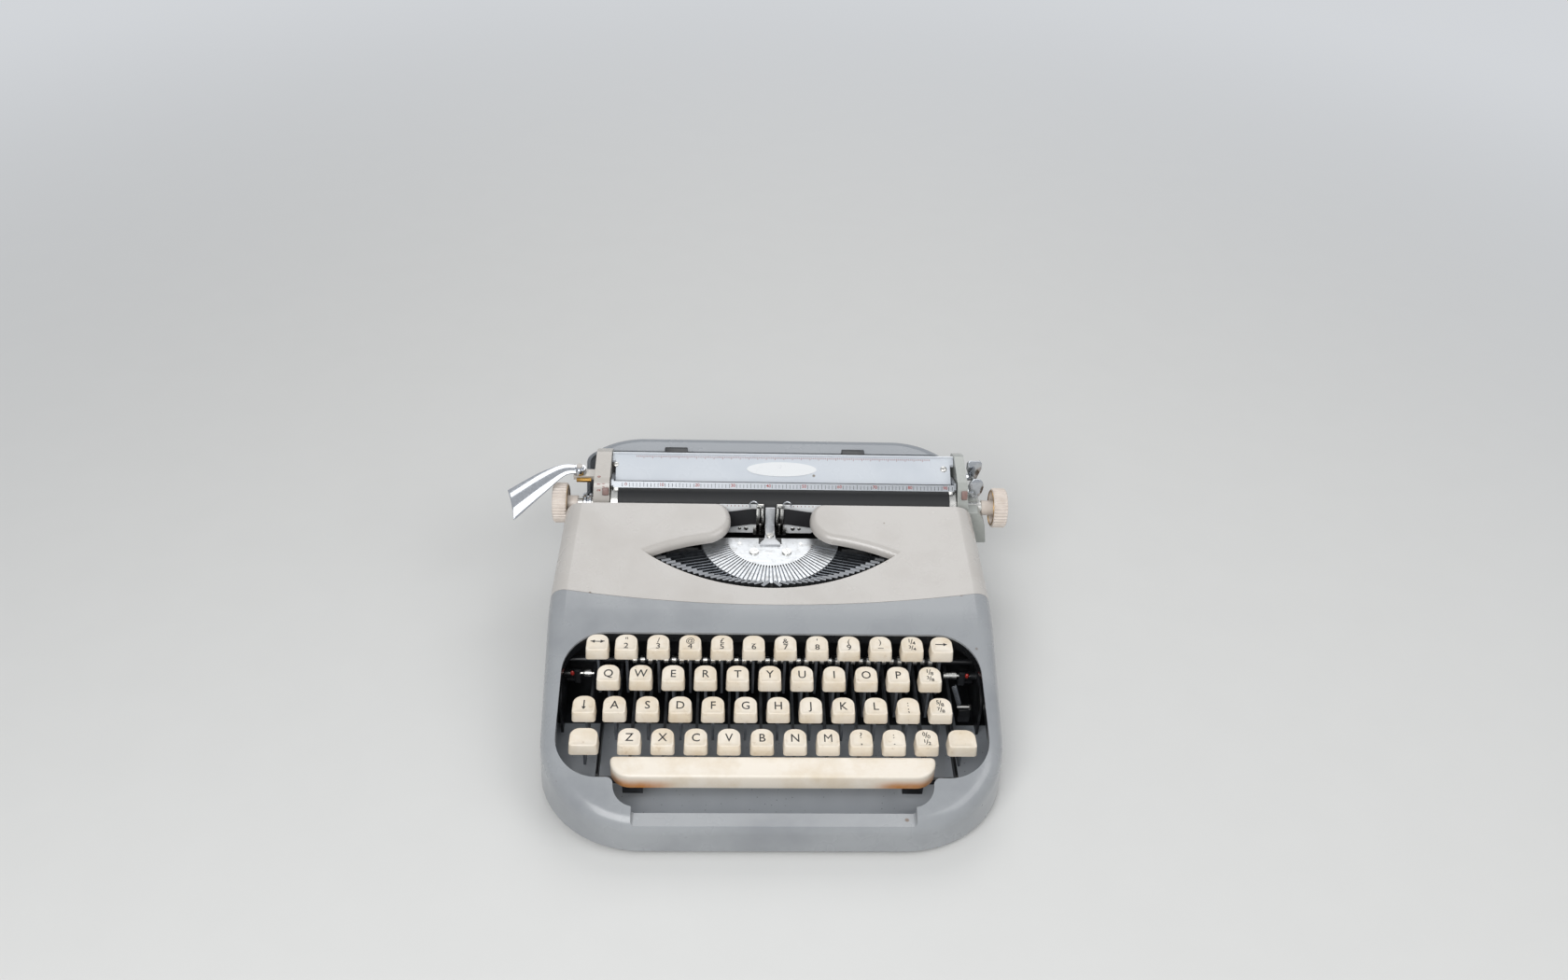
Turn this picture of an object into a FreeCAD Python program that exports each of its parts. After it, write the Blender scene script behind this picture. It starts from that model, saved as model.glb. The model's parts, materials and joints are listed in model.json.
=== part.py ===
"""Portable typewriter with a sliding, shifting carriage.

Frame: millimetres. X runs to the typist's right, Y away from the typist, Z up.
The origin is on the table, under the middle of the whole width at rest, from
the return lever's tip to the right knob. Places below count from the middle of
the body, and frame_x moves them there as the nodes are written.
Every function below makes one piece, or one family of equal pieces; the last
section writes each node to parts/.
"""
import FreeCAD, Part
import math
import os
from FreeCAD import Vector

frame_x = -5.7                # the frame's origin, from the middle of the body

# ---------------------------------------------------------------- clearances
running_clearance = 0.05      # radial, shafts in their holes
free_gap = 0.4                # between pieces that slide or swing past each other
seam_gap = 0.35               # line between the top cover and the housing

# ---------------------------------------------------------------- body shell
body_side_width = 15.0        # from the keyboard opening to the widest place of the sides
body_front_taper = 7.0        # the sides draw in by this towards the front edge
body_rear_taper = 6.0
body_widest_y = -5.0
body_front_y = -152.5
body_rear_y = 152.5
front_corner_radius = 62.0
side_bend_radius = 300.0
rear_corner_radius = 50.0
side_draft = 0.045            # how far the walls lean in, per millimetre of height
shell_wall = 1.8
shell_base_z = 4.0            # lower edge of the housing, held up by the feet
top_edge_radius = 11.0

rim_front_z = 24.8            # keyboard rim, at the front edge of the body
rim_slope = 0.276
deck_bend_y = -24.0           # where the rim slope turns into the flatter deck
deck_slope = 0.16
deck_end_y = 76.0             # where the deck turns level, under the carriage
deck_bend_radius = 150.0
profile_overhang = 12.0       # cutting shapes run past the body by this

# keyboard opening
well_rear_y = -33.0
well_margin = 7.6             # from the right shift key to the opening's edge
well_shoulder_y = -124.0
well_front_inset = 34.5       # the opening narrows by this on each side at its front
well_front_y = -141.0
well_corner_radius = 26.0
well_shoulder_radius = 25.0
well_front_corner_radius = 13.0
well_inner_corner_radius = 4.0
lip_depth = 7.5               # how far the turned-down lip reaches into the well
lip_radius = 2.6
rail_half_width = 79.5        # lowered front rail, before the space bar
low_z = 22.5
rail_step_radius = 2.0

# carriage channel and rear hood
channel_front_y = 71.0
channel_rear_y = 128.0
channel_floor_z = 40.0

# top cover
seam_middle_y = -12.0
seam_side_y = 0.5
cover_skirt_z = 46.0
basket_gap = 2.0              # from the type slugs to the lower edge of the opening
basket_tip_x = 80.0
basket_tip_y = 29.0
basket_tip_radius = 1.6
lobe_flank_x = 58.0           # the lobes' edges run inwards over these points
lobe_flank_y = 38.0
lobe_joint_x = 39.5
lobe_joint_y = 42.5
lobe_nose_x = 26.0
lobe_nose_y = 58.0
lobe_rear_x = 34.5
lobe_lip_depth = 5.5          # height of the turned-down edge
lobe_roll = 4.5               # radius of the rolled edge round the lobes

# ---------------------------------------------------------------- base and frame
foot_radius = 9.0
foot_front_x = 92.0
foot_front_y = -118.0
foot_rear_x = 108.0
foot_rear_y = 122.0
pan_thickness = 1.2
plate_thickness = 1.5
side_plate_gap = 0.5          # from the opening's edge out to the side plates
side_plate_corner = 12.0
side_plate_front_y = -66.0
side_plate_rear_y = 120.0
side_plate_well_z = 36.0
side_plate_deck_z = 44.0
side_plate_channel_z = 38.0
side_plate_step_y = -14.0
fulcrum_y = 60.0
fulcrum_z = 22.0
fulcrum_radius = 2.0
spacer_rod_y = -34.5
spacer_rod_z = 36.5
spacer_rod_radius = 2.0
comb_y = -20.0
comb_top_z = 42.0
comb_slot_width = 2.4
comb_slot_margin = 1.5        # above the levers at rest
comb_sill = 3.0
bridge_y = 66.0
bridge_bottom_z = 31.0
tray_z = 47.0                 # upper face of the sheet under the type basket
tray_front_y = -6.0
tray_ear_front_y = 0.0
tray_ear_rear_y = 40.0
rail_bar_front_y = 102.5      # fixed carriage rail
rail_bar_depth = 17.0
rail_bar_bottom_z = 31.0
rail_tongue_width = 4.0
rail_tongue_height = 3.0
stub_radius = 2.5
stub_y = -43.0
stub_z = 33.0
stub_length = 11.0

# ---------------------------------------------------------------- keyboard
keyboard_x = 3.0              # the rows stand this far right of the body's middle
key_pitch = 19.05
row_step_y = 19.05
row_step_z = 6.6
row_a_y = -79.9               # middle of the keytops in the home row
row_a_z = 44.8                # top of the keytops in the home row
keytop_width = 13.0
keytop_depth = 13.6
keytop_height = 7.4
keytop_front_radius = 1.8
keytop_back_radius = 5.6
keytop_dish_depth = 0.7       # hollow of the face, below its rim
keytop_rim = 1.1              # the hollow stops this far inside the edge
lever_thickness = 1.5
lever_rear_height = 9.0
lever_front_height = 6.0
lever_front_z = 20.0          # middle of the lever at the lower row
lever_tail = 5.0              # the lever reaches this far past the fulcrum rod
riser_depth = 5.0

function_key_width = 13.0
shift_key_width = 16.0
margin_release_place = -5.65  # places of the outer keys, in key pitches
shift_lock_place = -5.93
left_shift_place = -5.87
right_shift_place = 5.58
backspace_place = 5.19
shift_bar_y = 44.0            # bar that ties the two shift levers together
shift_bar_z = 10.5
shift_bar_radius = 3.0
shift_hanger_depth = 8.0

space_bar_width = 186.0
space_bar_depth = 15.1
space_bar_y = -115.9
space_bar_top_z = 33.0
space_bar_height = 10.0
space_bar_front_radius = 12.5
space_bar_rear_radius = 2.5
space_arm_left_place = -5.45  # in key pitches
space_arm_right_place = 5.41
space_post_x = 80.0           # blocks under the bar that carry it on its rail
space_post_width = 11.7
space_post_depth = 7.0
space_post_drop = 7.0         # below the underside of the bar
space_rail_width = 2.0
space_rail_height = 4.0       # below the underside of the bar
space_bar_wall = 2.0
space_bar_roof = 2.5
space_bar_edge_radius = 1.2

# ---------------------------------------------------------------- type basket
bar_count = 42
segment_y = 55.5              # middle of the half ring
segment_back_y = 54.8         # straight rear edge of the half ring
segment_inner_radius = 28.0
segment_outer_radius = 45.0
segment_fan = 74.0            # half of the angle that the slots spread over
segment_cheek = 12.0          # plain metal past the last slot, in degrees
segment_top_z = 60.0
segment_thickness = 5.0
slot_width = 0.9
slot_depth = 3.5
segment_screw_x = 10.6
segment_screw_y = 40.7
segment_screw_radius = 3.0
screw_head_height = 0.9
pedestal_half_width = 22.0
pedestal_front_y = 35.0
typebar_thickness = 0.7
typebar_depth = 2.6
typebar_rise = 0.4            # above the floor of its slot
typebar_inset = 1.5           # the bars start and bend this far outside the ring's two radii
rest_radius = 111.0           # the type slugs lie on this arc
rest_gap = 2.0                # from the half ring to the middle of that arc
rest_half_angle = 41.5
rest_bar_width = 3.0
rest_bar_share = 0.9          # the rest bar stops short of the outermost slugs
slug_width = 2.3
slug_length = 5.5
slug_height = 6.1
slug_root = 0.5               # the slug grips this much of its bar
pad_near_x = 47.0             # dark blocks beside the half ring, under the lobes
pad_far_x = 64.0
pad_front_y = 37.0
pad_rear_y = 49.0
pad_top_z = 56.0

guide_y = 68.0                # front of the two uprights
guide_post_near_x = 4.2
guide_post_far_x = 9.0
guide_post_depth = 1.6
guide_post_low_z = 52.0
guide_top_z = 78.0
guide_slot_width = 1.6        # slit in each upright that the ribbon is threaded through
guide_slot_low_z = 61.0
guide_slot_high_z = 74.0
guide_plate_width = 7.0
guide_plate_thickness = 1.0
guide_plate_top_z = 71.0
guide_foot_front_y = 47.0
guide_foot_shoulder_y = 54.0
guide_foot_tip_width = 5.0
ribbon_height = 12.7
ribbon_thickness = 0.4
ribbon_near_x = 8.0
ribbon_level_x = 12.0         # from here the ribbon dips towards the spool
ribbon_guide_z = 59.7         # lower edge at the guide
ribbon_lobe_x = 31.0
ribbon_lobe_z = 56.4          # lower edge where it goes under the lobe
card_near_x = 9.0
card_far_x = 33.6
card_gap = 1.4                # from the ribbon to the card plate
card_thickness = 0.5
card_low_z = 51.0
card_top_z = 73.0
card_corner = 6.0
loop_x = 11.0                 # wire loops beside the tops of the uprights
loop_z = 76.6
loop_radius = 2.3
loop_wire = 0.8
spool_x = 80.0
spool_radius = 14.5
spool_hub_radius = 5.0
spool_hub_height = 16.5
spool_pack_radius = 13.0
spool_flange = 1.0
spool_rise = 1.0              # lower flange above the tray

# ---------------------------------------------------------------- carriage
carriage_x = 9.6              # middle of the platen, right of the body's middle
platen_y = 87.2
platen_z = 62.3
platen_radius = 14.0
platen_half_length = 110.4
platen_ring_width = 4.6
platen_ring_step = 0.4
platen_shaft_radius = 4.0
end_plate_x = 115.6           # inner faces, from the middle of the platen
left_plate_width = 12.2
right_plate_width = 8.5
end_plate_lean = 2.0          # the outer faces lean in by this at the top
end_plate_front = 10.0        # ahead of the platen's axis
end_plate_chin = 10.0         # the lower front corner is cut off by this
end_plate_nose = 6.0          # the upright front ends this far above the platen's axis
end_plate_brow_y = 3.0        # the brow stands this far ahead of the platen's axis
end_plate_brow_z = 20.0       # and this far above it
end_plate_brow_radius = 8.0
end_plate_rise = 3.2          # above the paper table's upper edge
knob_radius = 13.4
knob_width = 9.5
knob_left_x = 153.7           # outer faces, from the middle of the platen
knob_right_x = 150.0
knob_wall = 2.2
knob_hub_radius = 5.0
knob_hub_reach = 7.0          # the hub stands this far out of the cup
knob_ribs = 36
knob_rib_depth = 0.5

truck_half_length = 118.0
truck_height = 7.0
truck_margin = 1.0            # the rail bar is wider than the truck by this on each side
beam_height = 2.0             # cross beam of the carriage frame, over the truck

end_cover_front_y = 76.0      # casting that hangs outside the right end
end_cover_rear_y = 108.0
end_cover_top_z = 66.0
end_cover_shoulder_x = 7.0    # from the end plate's outer face
end_cover_waist_x = 11.5
end_cover_waist_z = 56.0
end_cover_low_x = 13.8

paper_table_front_y = 94.5
paper_table_front_z = 76.0
paper_table_top_y = 111.5
paper_table_top_z = 84.8
paper_table_lip = 1.5
sheet_thickness = 1.2
pan_gap = 1.6                 # paper pan to platen
pan_front = 9.0               # the pan starts this far ahead of the platen's axis
pan_rise = 6.0                # and ends this far above it
margin_rail_y = 119.5
margin_rail_z = 69.0
margin_rail_size = 4.0
margin_stop_left_x = -81.1
margin_stop_right_x = 39.8
margin_stop_width = 16.0
margin_stop_top_z = 80.0
margin_stop_wall = 1.2

bail_pivot_y = 103.5
bail_pivot_z = 72.5
bail_strip_y = 85.5
bail_strip_z = 79.4
bail_strip_height = 4.2
bail_strip_thickness = 0.9
bail_tilt = 48.0              # lean of the scale strip, from level, in degrees
bail_arm_x = 113.2
bail_arm_thickness = 1.5
bail_pin_radius = 1.6
bail_pin_reach = 3.0          # into the end plates
bail_notch_rear = 4.2         # the table's notches reach this far behind the bail's pivot
bail_arm_front = 1.5          # the arms reach past the strip by this
bail_arm_half = 3.0
bail_knee_y = 9.5             # the arms step over the platen here, from the pivot
bail_knee_z = 2.9

lever_pivot_reach = 8.5       # return lever's stud, out from the left end plate
lever_pivot_y = 97.0
lever_stud_radius = 2.0
lever_boss_radius = 4.5
lever_boss_height = 3.4
lever_plate_z = 80.6
lever_plate_thickness = 1.2
lever_root_width = 6.0
lever_middle_width = 16.0
lever_tip_width = 23.0
lever_crown = 3.0             # bulge of the handle across its width
lever_across = (0.26, -0.87, -0.42)  # direction of the handle's width
lever_root = (-17.8, -4.0, 3.4)     # middles of the handle's sections, from the stud
lever_middle = (-23.3, -16.0, 1.4)
lever_tip = (-41.3, -35.0, -1.6)
bracket_width = 8.0
bracket_thickness = 3.0
stud_height = 6.0             # the stud stands this far out of the bracket

release_gap = 0.5             # between the release levers and the end plate
release_stem_width = 1.5
release_paddle_width = 9.4
release_paddle_height = 13.5
release_paddle_thickness = 1.5
release_pin_radius = 1.8
release_pin_length = 5.0
paper_release_y = 109.0
paper_release_z = 71.5
paper_release_reach = 8.5     # from the pin to the middle of the paddle
carriage_release_y = 97.5
carriage_release_z = 70.5
carriage_release_reach = 6.0
release_lean = 28.0           # the paddles lean towards the typist by this
release_corner = 3.5

# ---------------------------------------------------------------- derived places
margin_release_x = keyboard_x + margin_release_place * key_pitch
shift_lock_x = keyboard_x + shift_lock_place * key_pitch
left_shift_x = keyboard_x + left_shift_place * key_pitch
right_shift_x = keyboard_x + right_shift_place * key_pitch
backspace_x = keyboard_x + backspace_place * key_pitch
space_arm_left_x = keyboard_x + space_arm_left_place * key_pitch
space_arm_right_x = keyboard_x + space_arm_right_place * key_pitch
well_half_width = right_shift_x + shift_key_width / 2 + well_margin
well_front_half_width = well_half_width - well_front_inset
body_half_width = well_half_width + body_side_width
body_front_half_width = body_half_width - body_front_taper
body_rear_half_width = body_half_width - body_rear_taper
side_plate_x = well_half_width + side_plate_gap
pan_top_z = shell_base_z + pan_thickness
rest_middle_y = segment_y - segment_outer_radius - rest_gap
basket_lower_y = rest_middle_y - slug_length - basket_gap
typebar_low_z = segment_top_z - slot_depth + typebar_rise
frame_low_z = channel_floor_z + truck_height + 2 * free_gap
left_plate_inner = carriage_x - end_plate_x
left_plate_outer = left_plate_inner - left_plate_width
right_plate_inner = carriage_x + end_plate_x
right_plate_outer = right_plate_inner + right_plate_width
ribbon_y = guide_y + guide_post_depth
spool_y = ribbon_y - spool_pack_radius - seam_gap
spool_pack_z = tray_z + spool_rise + spool_flange


# ================================================================ helpers
def rounded_outline(points, radii):
    """Closed wire through the points, with a tangent arc of its own radius at each."""
    count = len(points)
    corners = []
    for i in range(count):
        point = points[i]
        to_last = (points[i - 1] - point).normalize()
        to_next = (points[(i + 1) % count] - point).normalize()
        half = to_last.getAngle(to_next) / 2
        reach = radii[i] / math.tan(half)
        middle = (to_last + to_next).normalize() * (radii[i] / math.sin(half) - radii[i])
        corners.append((point + to_last * reach, point + middle, point + to_next * reach))
    edges = []
    for i in range(count):
        start, middle, end = corners[i]
        following = corners[(i + 1) % count][0]
        if radii[i] > 0:
            edges.append(Part.Arc(start, middle, end).toShape())
        if end.distanceToPoint(following) > 1e-6:
            edges.append(Part.makeLine(end, following))
    return Part.Wire(edges)


def flat_outline(pairs, radii, z):
    return rounded_outline([Vector(x, y, z) for x, y in pairs], radii)


def prism(pairs, radii, z_low, z_high):
    """Upright prism over an outline in plan."""
    face = Part.Face(flat_outline(pairs, radii, z_low))
    return face.extrude(Vector(0, 0, z_high - z_low))


def front_prism(pairs, radii, y_low, y_high):
    """Prism along Y over an outline given as (x, z) pairs."""
    face = Part.Face(rounded_outline([Vector(x, y_low, z) for x, z in pairs], radii))
    return face.extrude(Vector(0, y_high - y_low, 0))


def side_prism(pairs, radii, x_low, x_high):
    """Prism along X over an outline given as (y, z) pairs."""
    face = Part.Face(rounded_outline([Vector(x_low, y, z) for y, z in pairs], radii))
    return face.extrude(Vector(x_high - x_low, 0, 0))


def block(x_low, x_high, y_low, y_high, z_low, z_high):
    size = (x_high - x_low, y_high - y_low, z_high - z_low)
    return Part.makeBox(*size, Vector(x_low, y_low, z_low))


def rod_x(radius, x_low, x_high, y, z):
    return Part.makeCylinder(radius, x_high - x_low, Vector(x_low, y, z), Vector(1, 0, 0))


def rod_z(radius, x, y, z_low, z_high):
    return Part.makeCylinder(radius, z_high - z_low, Vector(x, y, z_low))


def mirrored(shape):
    return shape.mirror(Vector(0, 0, 0), Vector(1, 0, 0))


def both_sides(pairs):
    """Outline points of the right half, going round, completed with the left half."""
    return pairs + [(-x, y) for x, y in reversed(pairs)]


def mirrored_radii(radii):
    return radii + list(reversed(radii))


# ================================================================ body shell
def body_outline(inset, z):
    """Plan of the body at one height: drafted walls, large front corners."""
    lean = inset + side_draft * (z - shell_base_z)
    pairs = both_sides([
        (body_front_half_width - lean, body_front_y + lean),
        (body_half_width - lean, body_widest_y),
        (body_rear_half_width - lean, body_rear_y - lean),
    ])
    radii = mirrored_radii([
        front_corner_radius - lean,
        side_bend_radius,
        rear_corner_radius - lean,
    ])
    return flat_outline(pairs, radii, z)


def deck_z(y):
    """Height of the outer skin in the middle of the body."""
    rim_z = rim_front_z + rim_slope * (y - body_front_y)
    bend_z = rim_front_z + rim_slope * (deck_bend_y - body_front_y)
    if y <= deck_bend_y:
        return rim_z
    return bend_z + deck_slope * (min(y, deck_end_y) - deck_bend_y)


def side_profile(drop):
    """Prism with the body's outline as seen from the side, lowered by drop."""
    front = body_front_y - profile_overhang
    rear = body_rear_y + profile_overhang
    pairs = [
        (front, shell_base_z - profile_overhang),
        (front, deck_z(front) - drop),
        (deck_bend_y, deck_z(deck_bend_y) - drop),
        (deck_end_y, deck_z(deck_end_y) - drop),
        (rear, deck_z(rear) - drop),
        (rear, shell_base_z - profile_overhang),
    ]
    radii = [0, 0, deck_bend_radius, deck_bend_radius, 0, 0]
    reach = body_half_width + profile_overhang
    return side_prism(pairs, radii, -reach, reach)


def body_form(inset):
    """The closed outer form of the body, shrunk on all sides but the bottom."""
    top_z = deck_z(deck_end_y) + profile_overhang
    low = body_outline(inset, shell_base_z)
    high = body_outline(inset, top_z)
    form = Part.makeLoft([low, high], True, True).common(side_profile(inset))
    upper = [edge for edge in form.Edges if is_upper_edge(form, edge)]
    return form.makeFillet(top_edge_radius - inset, upper)


def is_upper_edge(form, edge):
    """True for the edges where the deck meets the upright walls."""
    faces = form.ancestorsOfType(edge, Part.Face)
    normals = [face.normalAt(*face.Surface.parameter(edge.CenterOfMass)) for face in faces]
    steep = [abs(normal.z) < 0.5 for normal in normals]
    high = edge.CenterOfMass.z > shell_base_z + 1
    return high and len(faces) == 2 and steep[0] != steep[1]


def rail_cut(grow, drop):
    """The step that lowers the front rail before the space bar."""
    half = rail_half_width + grow
    low = low_z - drop
    high = deck_z(well_shoulder_y) + profile_overhang
    front = body_front_y - profile_overhang
    rear = well_front_y + profile_overhang
    pairs = [(-half, low), (half, low), (half, high), (-half, high)]
    return front_prism(pairs, [rail_step_radius, rail_step_radius, 0, 0], front, rear)


def well_prism(grow):
    """The keyboard opening, from the table up through the deck."""
    pairs = both_sides([
        (well_front_half_width + grow, well_front_y - grow),
        (well_front_half_width + grow, well_shoulder_y - grow),
        (well_half_width + grow, well_shoulder_y - grow),
        (well_half_width + grow, well_rear_y + grow),
    ])
    radii = mirrored_radii([
        well_front_corner_radius + grow,
        well_inner_corner_radius - grow / 2,
        well_shoulder_radius + grow,
        well_corner_radius + grow,
    ])
    return prism(pairs, radii, shell_base_z - profile_overhang, deck_z(well_rear_y) + profile_overhang)


def cover_zone(gap):
    """Everything above the skirt line, between the bowed seam and the channel."""
    half = body_half_width + profile_overhang
    bow = seam_side_y - seam_middle_y
    side_y = seam_middle_y + bow * (half / body_half_width) ** 2
    left = Vector(-half, side_y - gap, cover_skirt_z - gap)
    right = Vector(half, side_y - gap, cover_skirt_z - gap)
    middle = Vector(0, seam_middle_y - gap, cover_skirt_z - gap)
    rear_left = Vector(-half, channel_front_y, left.z)
    rear_right = Vector(half, channel_front_y, left.z)
    edges = [
        Part.Arc(left, middle, right).toShape(),
        Part.makeLine(right, rear_right),
        Part.makeLine(rear_right, rear_left),
        Part.makeLine(rear_left, left),
    ]
    top_z = deck_z(deck_end_y) + profile_overhang
    return Part.Face(Part.Wire(edges)).extrude(Vector(0, 0, top_z - left.z))


def channel_cut():
    half = body_half_width + profile_overhang
    top_z = deck_z(deck_end_y) + profile_overhang
    return block(-half, half, channel_front_y, channel_rear_y, channel_floor_z, top_z)


def lower_housing():
    """Blue-grey shell: keyboard rim, side walls, front rail and rear hood."""
    outer = body_form(0).cut(rail_cut(0, 0)).cut(well_prism(0))
    cavity = body_form(shell_wall).cut(rail_cut(shell_wall, shell_wall))
    lip_zone = well_prism(shell_wall).cut(side_profile(lip_depth)).cut(rail_cut(lip_depth, lip_depth))
    shell = outer.cut(cavity.cut(lip_zone))
    return shell.cut(cover_zone(seam_gap)).cut(channel_cut())


# ================================================================ top cover
def basket_outline(grow, z):
    """Crescent over the typebars, open to the rear between the two lobes."""
    tip = Vector(basket_tip_x + grow, basket_tip_y, z)
    near = Vector(0, basket_lower_y - grow, z)
    flank = Vector(lobe_flank_x, lobe_flank_y + grow, z)
    joint = Vector(lobe_joint_x + grow / 2, lobe_joint_y + grow, z)
    nose = Vector(lobe_nose_x + grow, lobe_nose_y, z)
    rear = Vector(lobe_rear_x + grow, deck_end_y, z)
    right = [Part.Arc(tip, flank, joint).toShape(), Part.Arc(joint, nose, rear).toShape()]
    left = [mirrored(edge) for edge in right]
    bottom = Part.Arc(Vector(-tip.x, tip.y, z), near, tip).toShape()
    rear_line = Part.makeLine(rear, Vector(-rear.x, rear.y, z))
    return Part.Wire(Part.__sortEdges__([bottom] + right + [rear_line] + left))


def basket_prism(grow, z_low, z_high):
    face = Part.Face(basket_outline(grow, z_low))
    return face.extrude(Vector(0, 0, z_high - z_low))


def is_lobe_edge(edge):
    """True for the upper edges of the opening that run along the two lobes."""
    middle = edge.valueAt((edge.FirstParameter + edge.LastParameter) / 2)
    on_deck = abs(middle.z - deck_z(middle.y)) < 1
    beside = lobe_nose_x - 1 < abs(middle.x) < basket_tip_x
    return on_deck and beside and basket_tip_y < middle.y < channel_front_y - 1


def top_cover():
    """Light grey ribbon cover with the crescent opening and two smooth lobes."""
    top_z = deck_z(deck_end_y) + profile_overhang
    outer = body_form(0).cut(basket_prism(0, cover_skirt_z, top_z)).common(cover_zone(0))
    outer = outer.makeFillet(lobe_roll, [edge for edge in outer.Edges if is_lobe_edge(edge)])
    lip = basket_prism(shell_wall, cover_skirt_z, top_z).cut(side_profile(lobe_lip_depth))
    return outer.cut(body_form(shell_wall).cut(lip))


# ================================================================ base and frame
def base_pan():
    """Sheet that closes the bottom, inside the housing's lower edge."""
    low = Part.Face(body_outline(shell_wall + seam_gap, shell_base_z))
    return low.extrude(Vector(0, 0, pan_thickness))


def feet():
    places = [
        (foot_front_x, foot_front_y),
        (-foot_front_x, foot_front_y),
        (foot_rear_x, foot_rear_y),
        (-foot_rear_x, foot_rear_y),
    ]
    return [Part.makeCone(foot_radius - 1, foot_radius, shell_base_z, Vector(x, y, 0)) for x, y in places]


def side_plate(x_inner, x_outer):
    pairs = [
        (side_plate_front_y, pan_top_z),
        (side_plate_rear_y, pan_top_z),
        (side_plate_rear_y, side_plate_channel_z),
        (bridge_y, side_plate_channel_z),
        (bridge_y, side_plate_deck_z),
        (side_plate_step_y, side_plate_deck_z),
        (side_plate_step_y, side_plate_well_z),
        (side_plate_front_y, side_plate_well_z),
    ]
    return side_prism(pairs, [0, 0, 2, 2, 2, 3, 3, side_plate_corner], x_inner, x_outer)


def lever_z(y):
    """Height of the key levers' middle line: they all slope alike to the fulcrum rod."""
    lower_row_y = row_a_y - row_step_y
    share = (fulcrum_y - y) / (fulcrum_y - lower_row_y)
    return fulcrum_z + (lever_front_z - fulcrum_z) * share


def comb(lever_places):
    """Upright comb whose slots keep the key levers apart."""
    bar = block(-side_plate_x, side_plate_x, comb_y, comb_y + plate_thickness, pan_top_z, comb_top_z)
    slot_top = lever_z(comb_y) + lever_rear_height / 2 + comb_slot_margin
    slot_bottom = pan_top_z + comb_sill
    half = comb_slot_width / 2
    rear = comb_y + plate_thickness
    slots = [block(x - half, x + half, comb_y, rear, slot_bottom, slot_top) for x in lever_places]
    return bar.cut(Part.makeCompound(slots))


def rest_point(share, radius_change=0.0):
    """Place of a type slug on the rest arc; share runs from -1 to 1 across the row."""
    angle = math.radians(rest_half_angle * share)
    radius = rest_radius + radius_change
    centre_y = rest_middle_y + rest_radius
    return radius * math.sin(angle), centre_y - radius * math.cos(angle)


def rest_arc_band(inner_change, outer_change, z_low, z_high):
    """Arc-shaped bar that follows the row of type slugs."""
    shares = (-rest_bar_share, 0, rest_bar_share)
    inner = [Vector(*rest_point(share, inner_change), z_low) for share in shares]
    outer = [Vector(*rest_point(-share, outer_change), z_low) for share in shares]
    edges = [
        Part.Arc(*inner).toShape(),
        Part.makeLine(inner[2], outer[0]),
        Part.Arc(*outer).toShape(),
        Part.makeLine(outer[2], inner[0]),
    ]
    return Part.Face(Part.Wire(edges)).extrude(Vector(0, 0, z_high - z_low))


def basket_tray():
    """Sheet under the type basket, hung between the side plates."""
    low = tray_z - plate_thickness
    sheet = block(-side_plate_x, side_plate_x, tray_front_y, bridge_y + plate_thickness, low, tray_z)
    ears = []
    for x in (-side_plate_x, side_plate_x - 2 * plate_thickness):
        right = x + 2 * plate_thickness
        ears.append(block(x, right, tray_ear_front_y, tray_ear_rear_y, side_plate_deck_z, low))
    return sheet.fuse(ears).removeSplitter()


def basket_blocks():
    """Type rest and the two dark side blocks, standing on the tray."""
    half = rest_bar_width / 2
    rest = rest_arc_band(half, -half, tray_z, typebar_low_z - free_gap)
    left = block(-pad_far_x, -pad_near_x, pad_front_y, pad_rear_y, tray_z, pad_top_z)
    return [rest, left, mirrored(left)]


def carriage_rail():
    """Fixed bar with an upright tongue that the carriage truck runs on."""
    rear = rail_bar_front_y + rail_bar_depth
    top = channel_floor_z
    bar = block(-side_plate_x, side_plate_x, rail_bar_front_y, rear, rail_bar_bottom_z, top)
    front = (rail_bar_front_y + rear - rail_tongue_width) / 2
    back = front + rail_tongue_width
    tongue = block(-side_plate_x, side_plate_x, front, back, top, top + rail_tongue_height)
    return bar.fuse(tongue)


def chassis(lever_places):
    """Base pan, feet, side plates, rods, comb, bridge, tray and carriage rail."""
    plates = [
        side_plate(-side_plate_x - plate_thickness, -side_plate_x),
        side_plate(side_plate_x, side_plate_x + plate_thickness),
    ]
    fulcrum = rod_x(fulcrum_radius, -side_plate_x, side_plate_x, fulcrum_y, fulcrum_z)
    spacer = rod_x(spacer_rod_radius, -side_plate_x, side_plate_x, spacer_rod_y, spacer_rod_z)
    bridge_rear_y = bridge_y + 2 * plate_thickness
    tray_low_z = tray_z - plate_thickness
    bridge = block(-side_plate_x, side_plate_x, bridge_y, bridge_rear_y, bridge_bottom_z, tray_low_z)
    inner = side_plate_x - stub_length
    stubs = [
        rod_x(stub_radius, -side_plate_x, -inner, stub_y, stub_z),
        rod_x(stub_radius, inner, side_plate_x, stub_y, stub_z),
    ]
    solids = [base_pan()] + feet() + plates + [fulcrum, spacer, bridge, comb(lever_places)]
    solids = solids + [basket_tray(), carriage_rail()] + basket_blocks() + stubs
    return Part.makeCompound(solids)


# ================================================================ keyboard
def keytop_outline(x, y, width, depth, inset):
    """Corners and radii of a keytop in plan: flat front edge and arched back."""
    right = x + width / 2 - inset
    left = x - width / 2 + inset
    front = y - depth / 2 + inset
    rear = y + depth / 2 - inset
    pairs = [(left, front), (right, front), (right, rear), (left, rear)]
    front_radius = keytop_front_radius - inset
    back_radius = keytop_back_radius - inset
    return pairs, [front_radius, front_radius, back_radius, back_radius]


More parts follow.
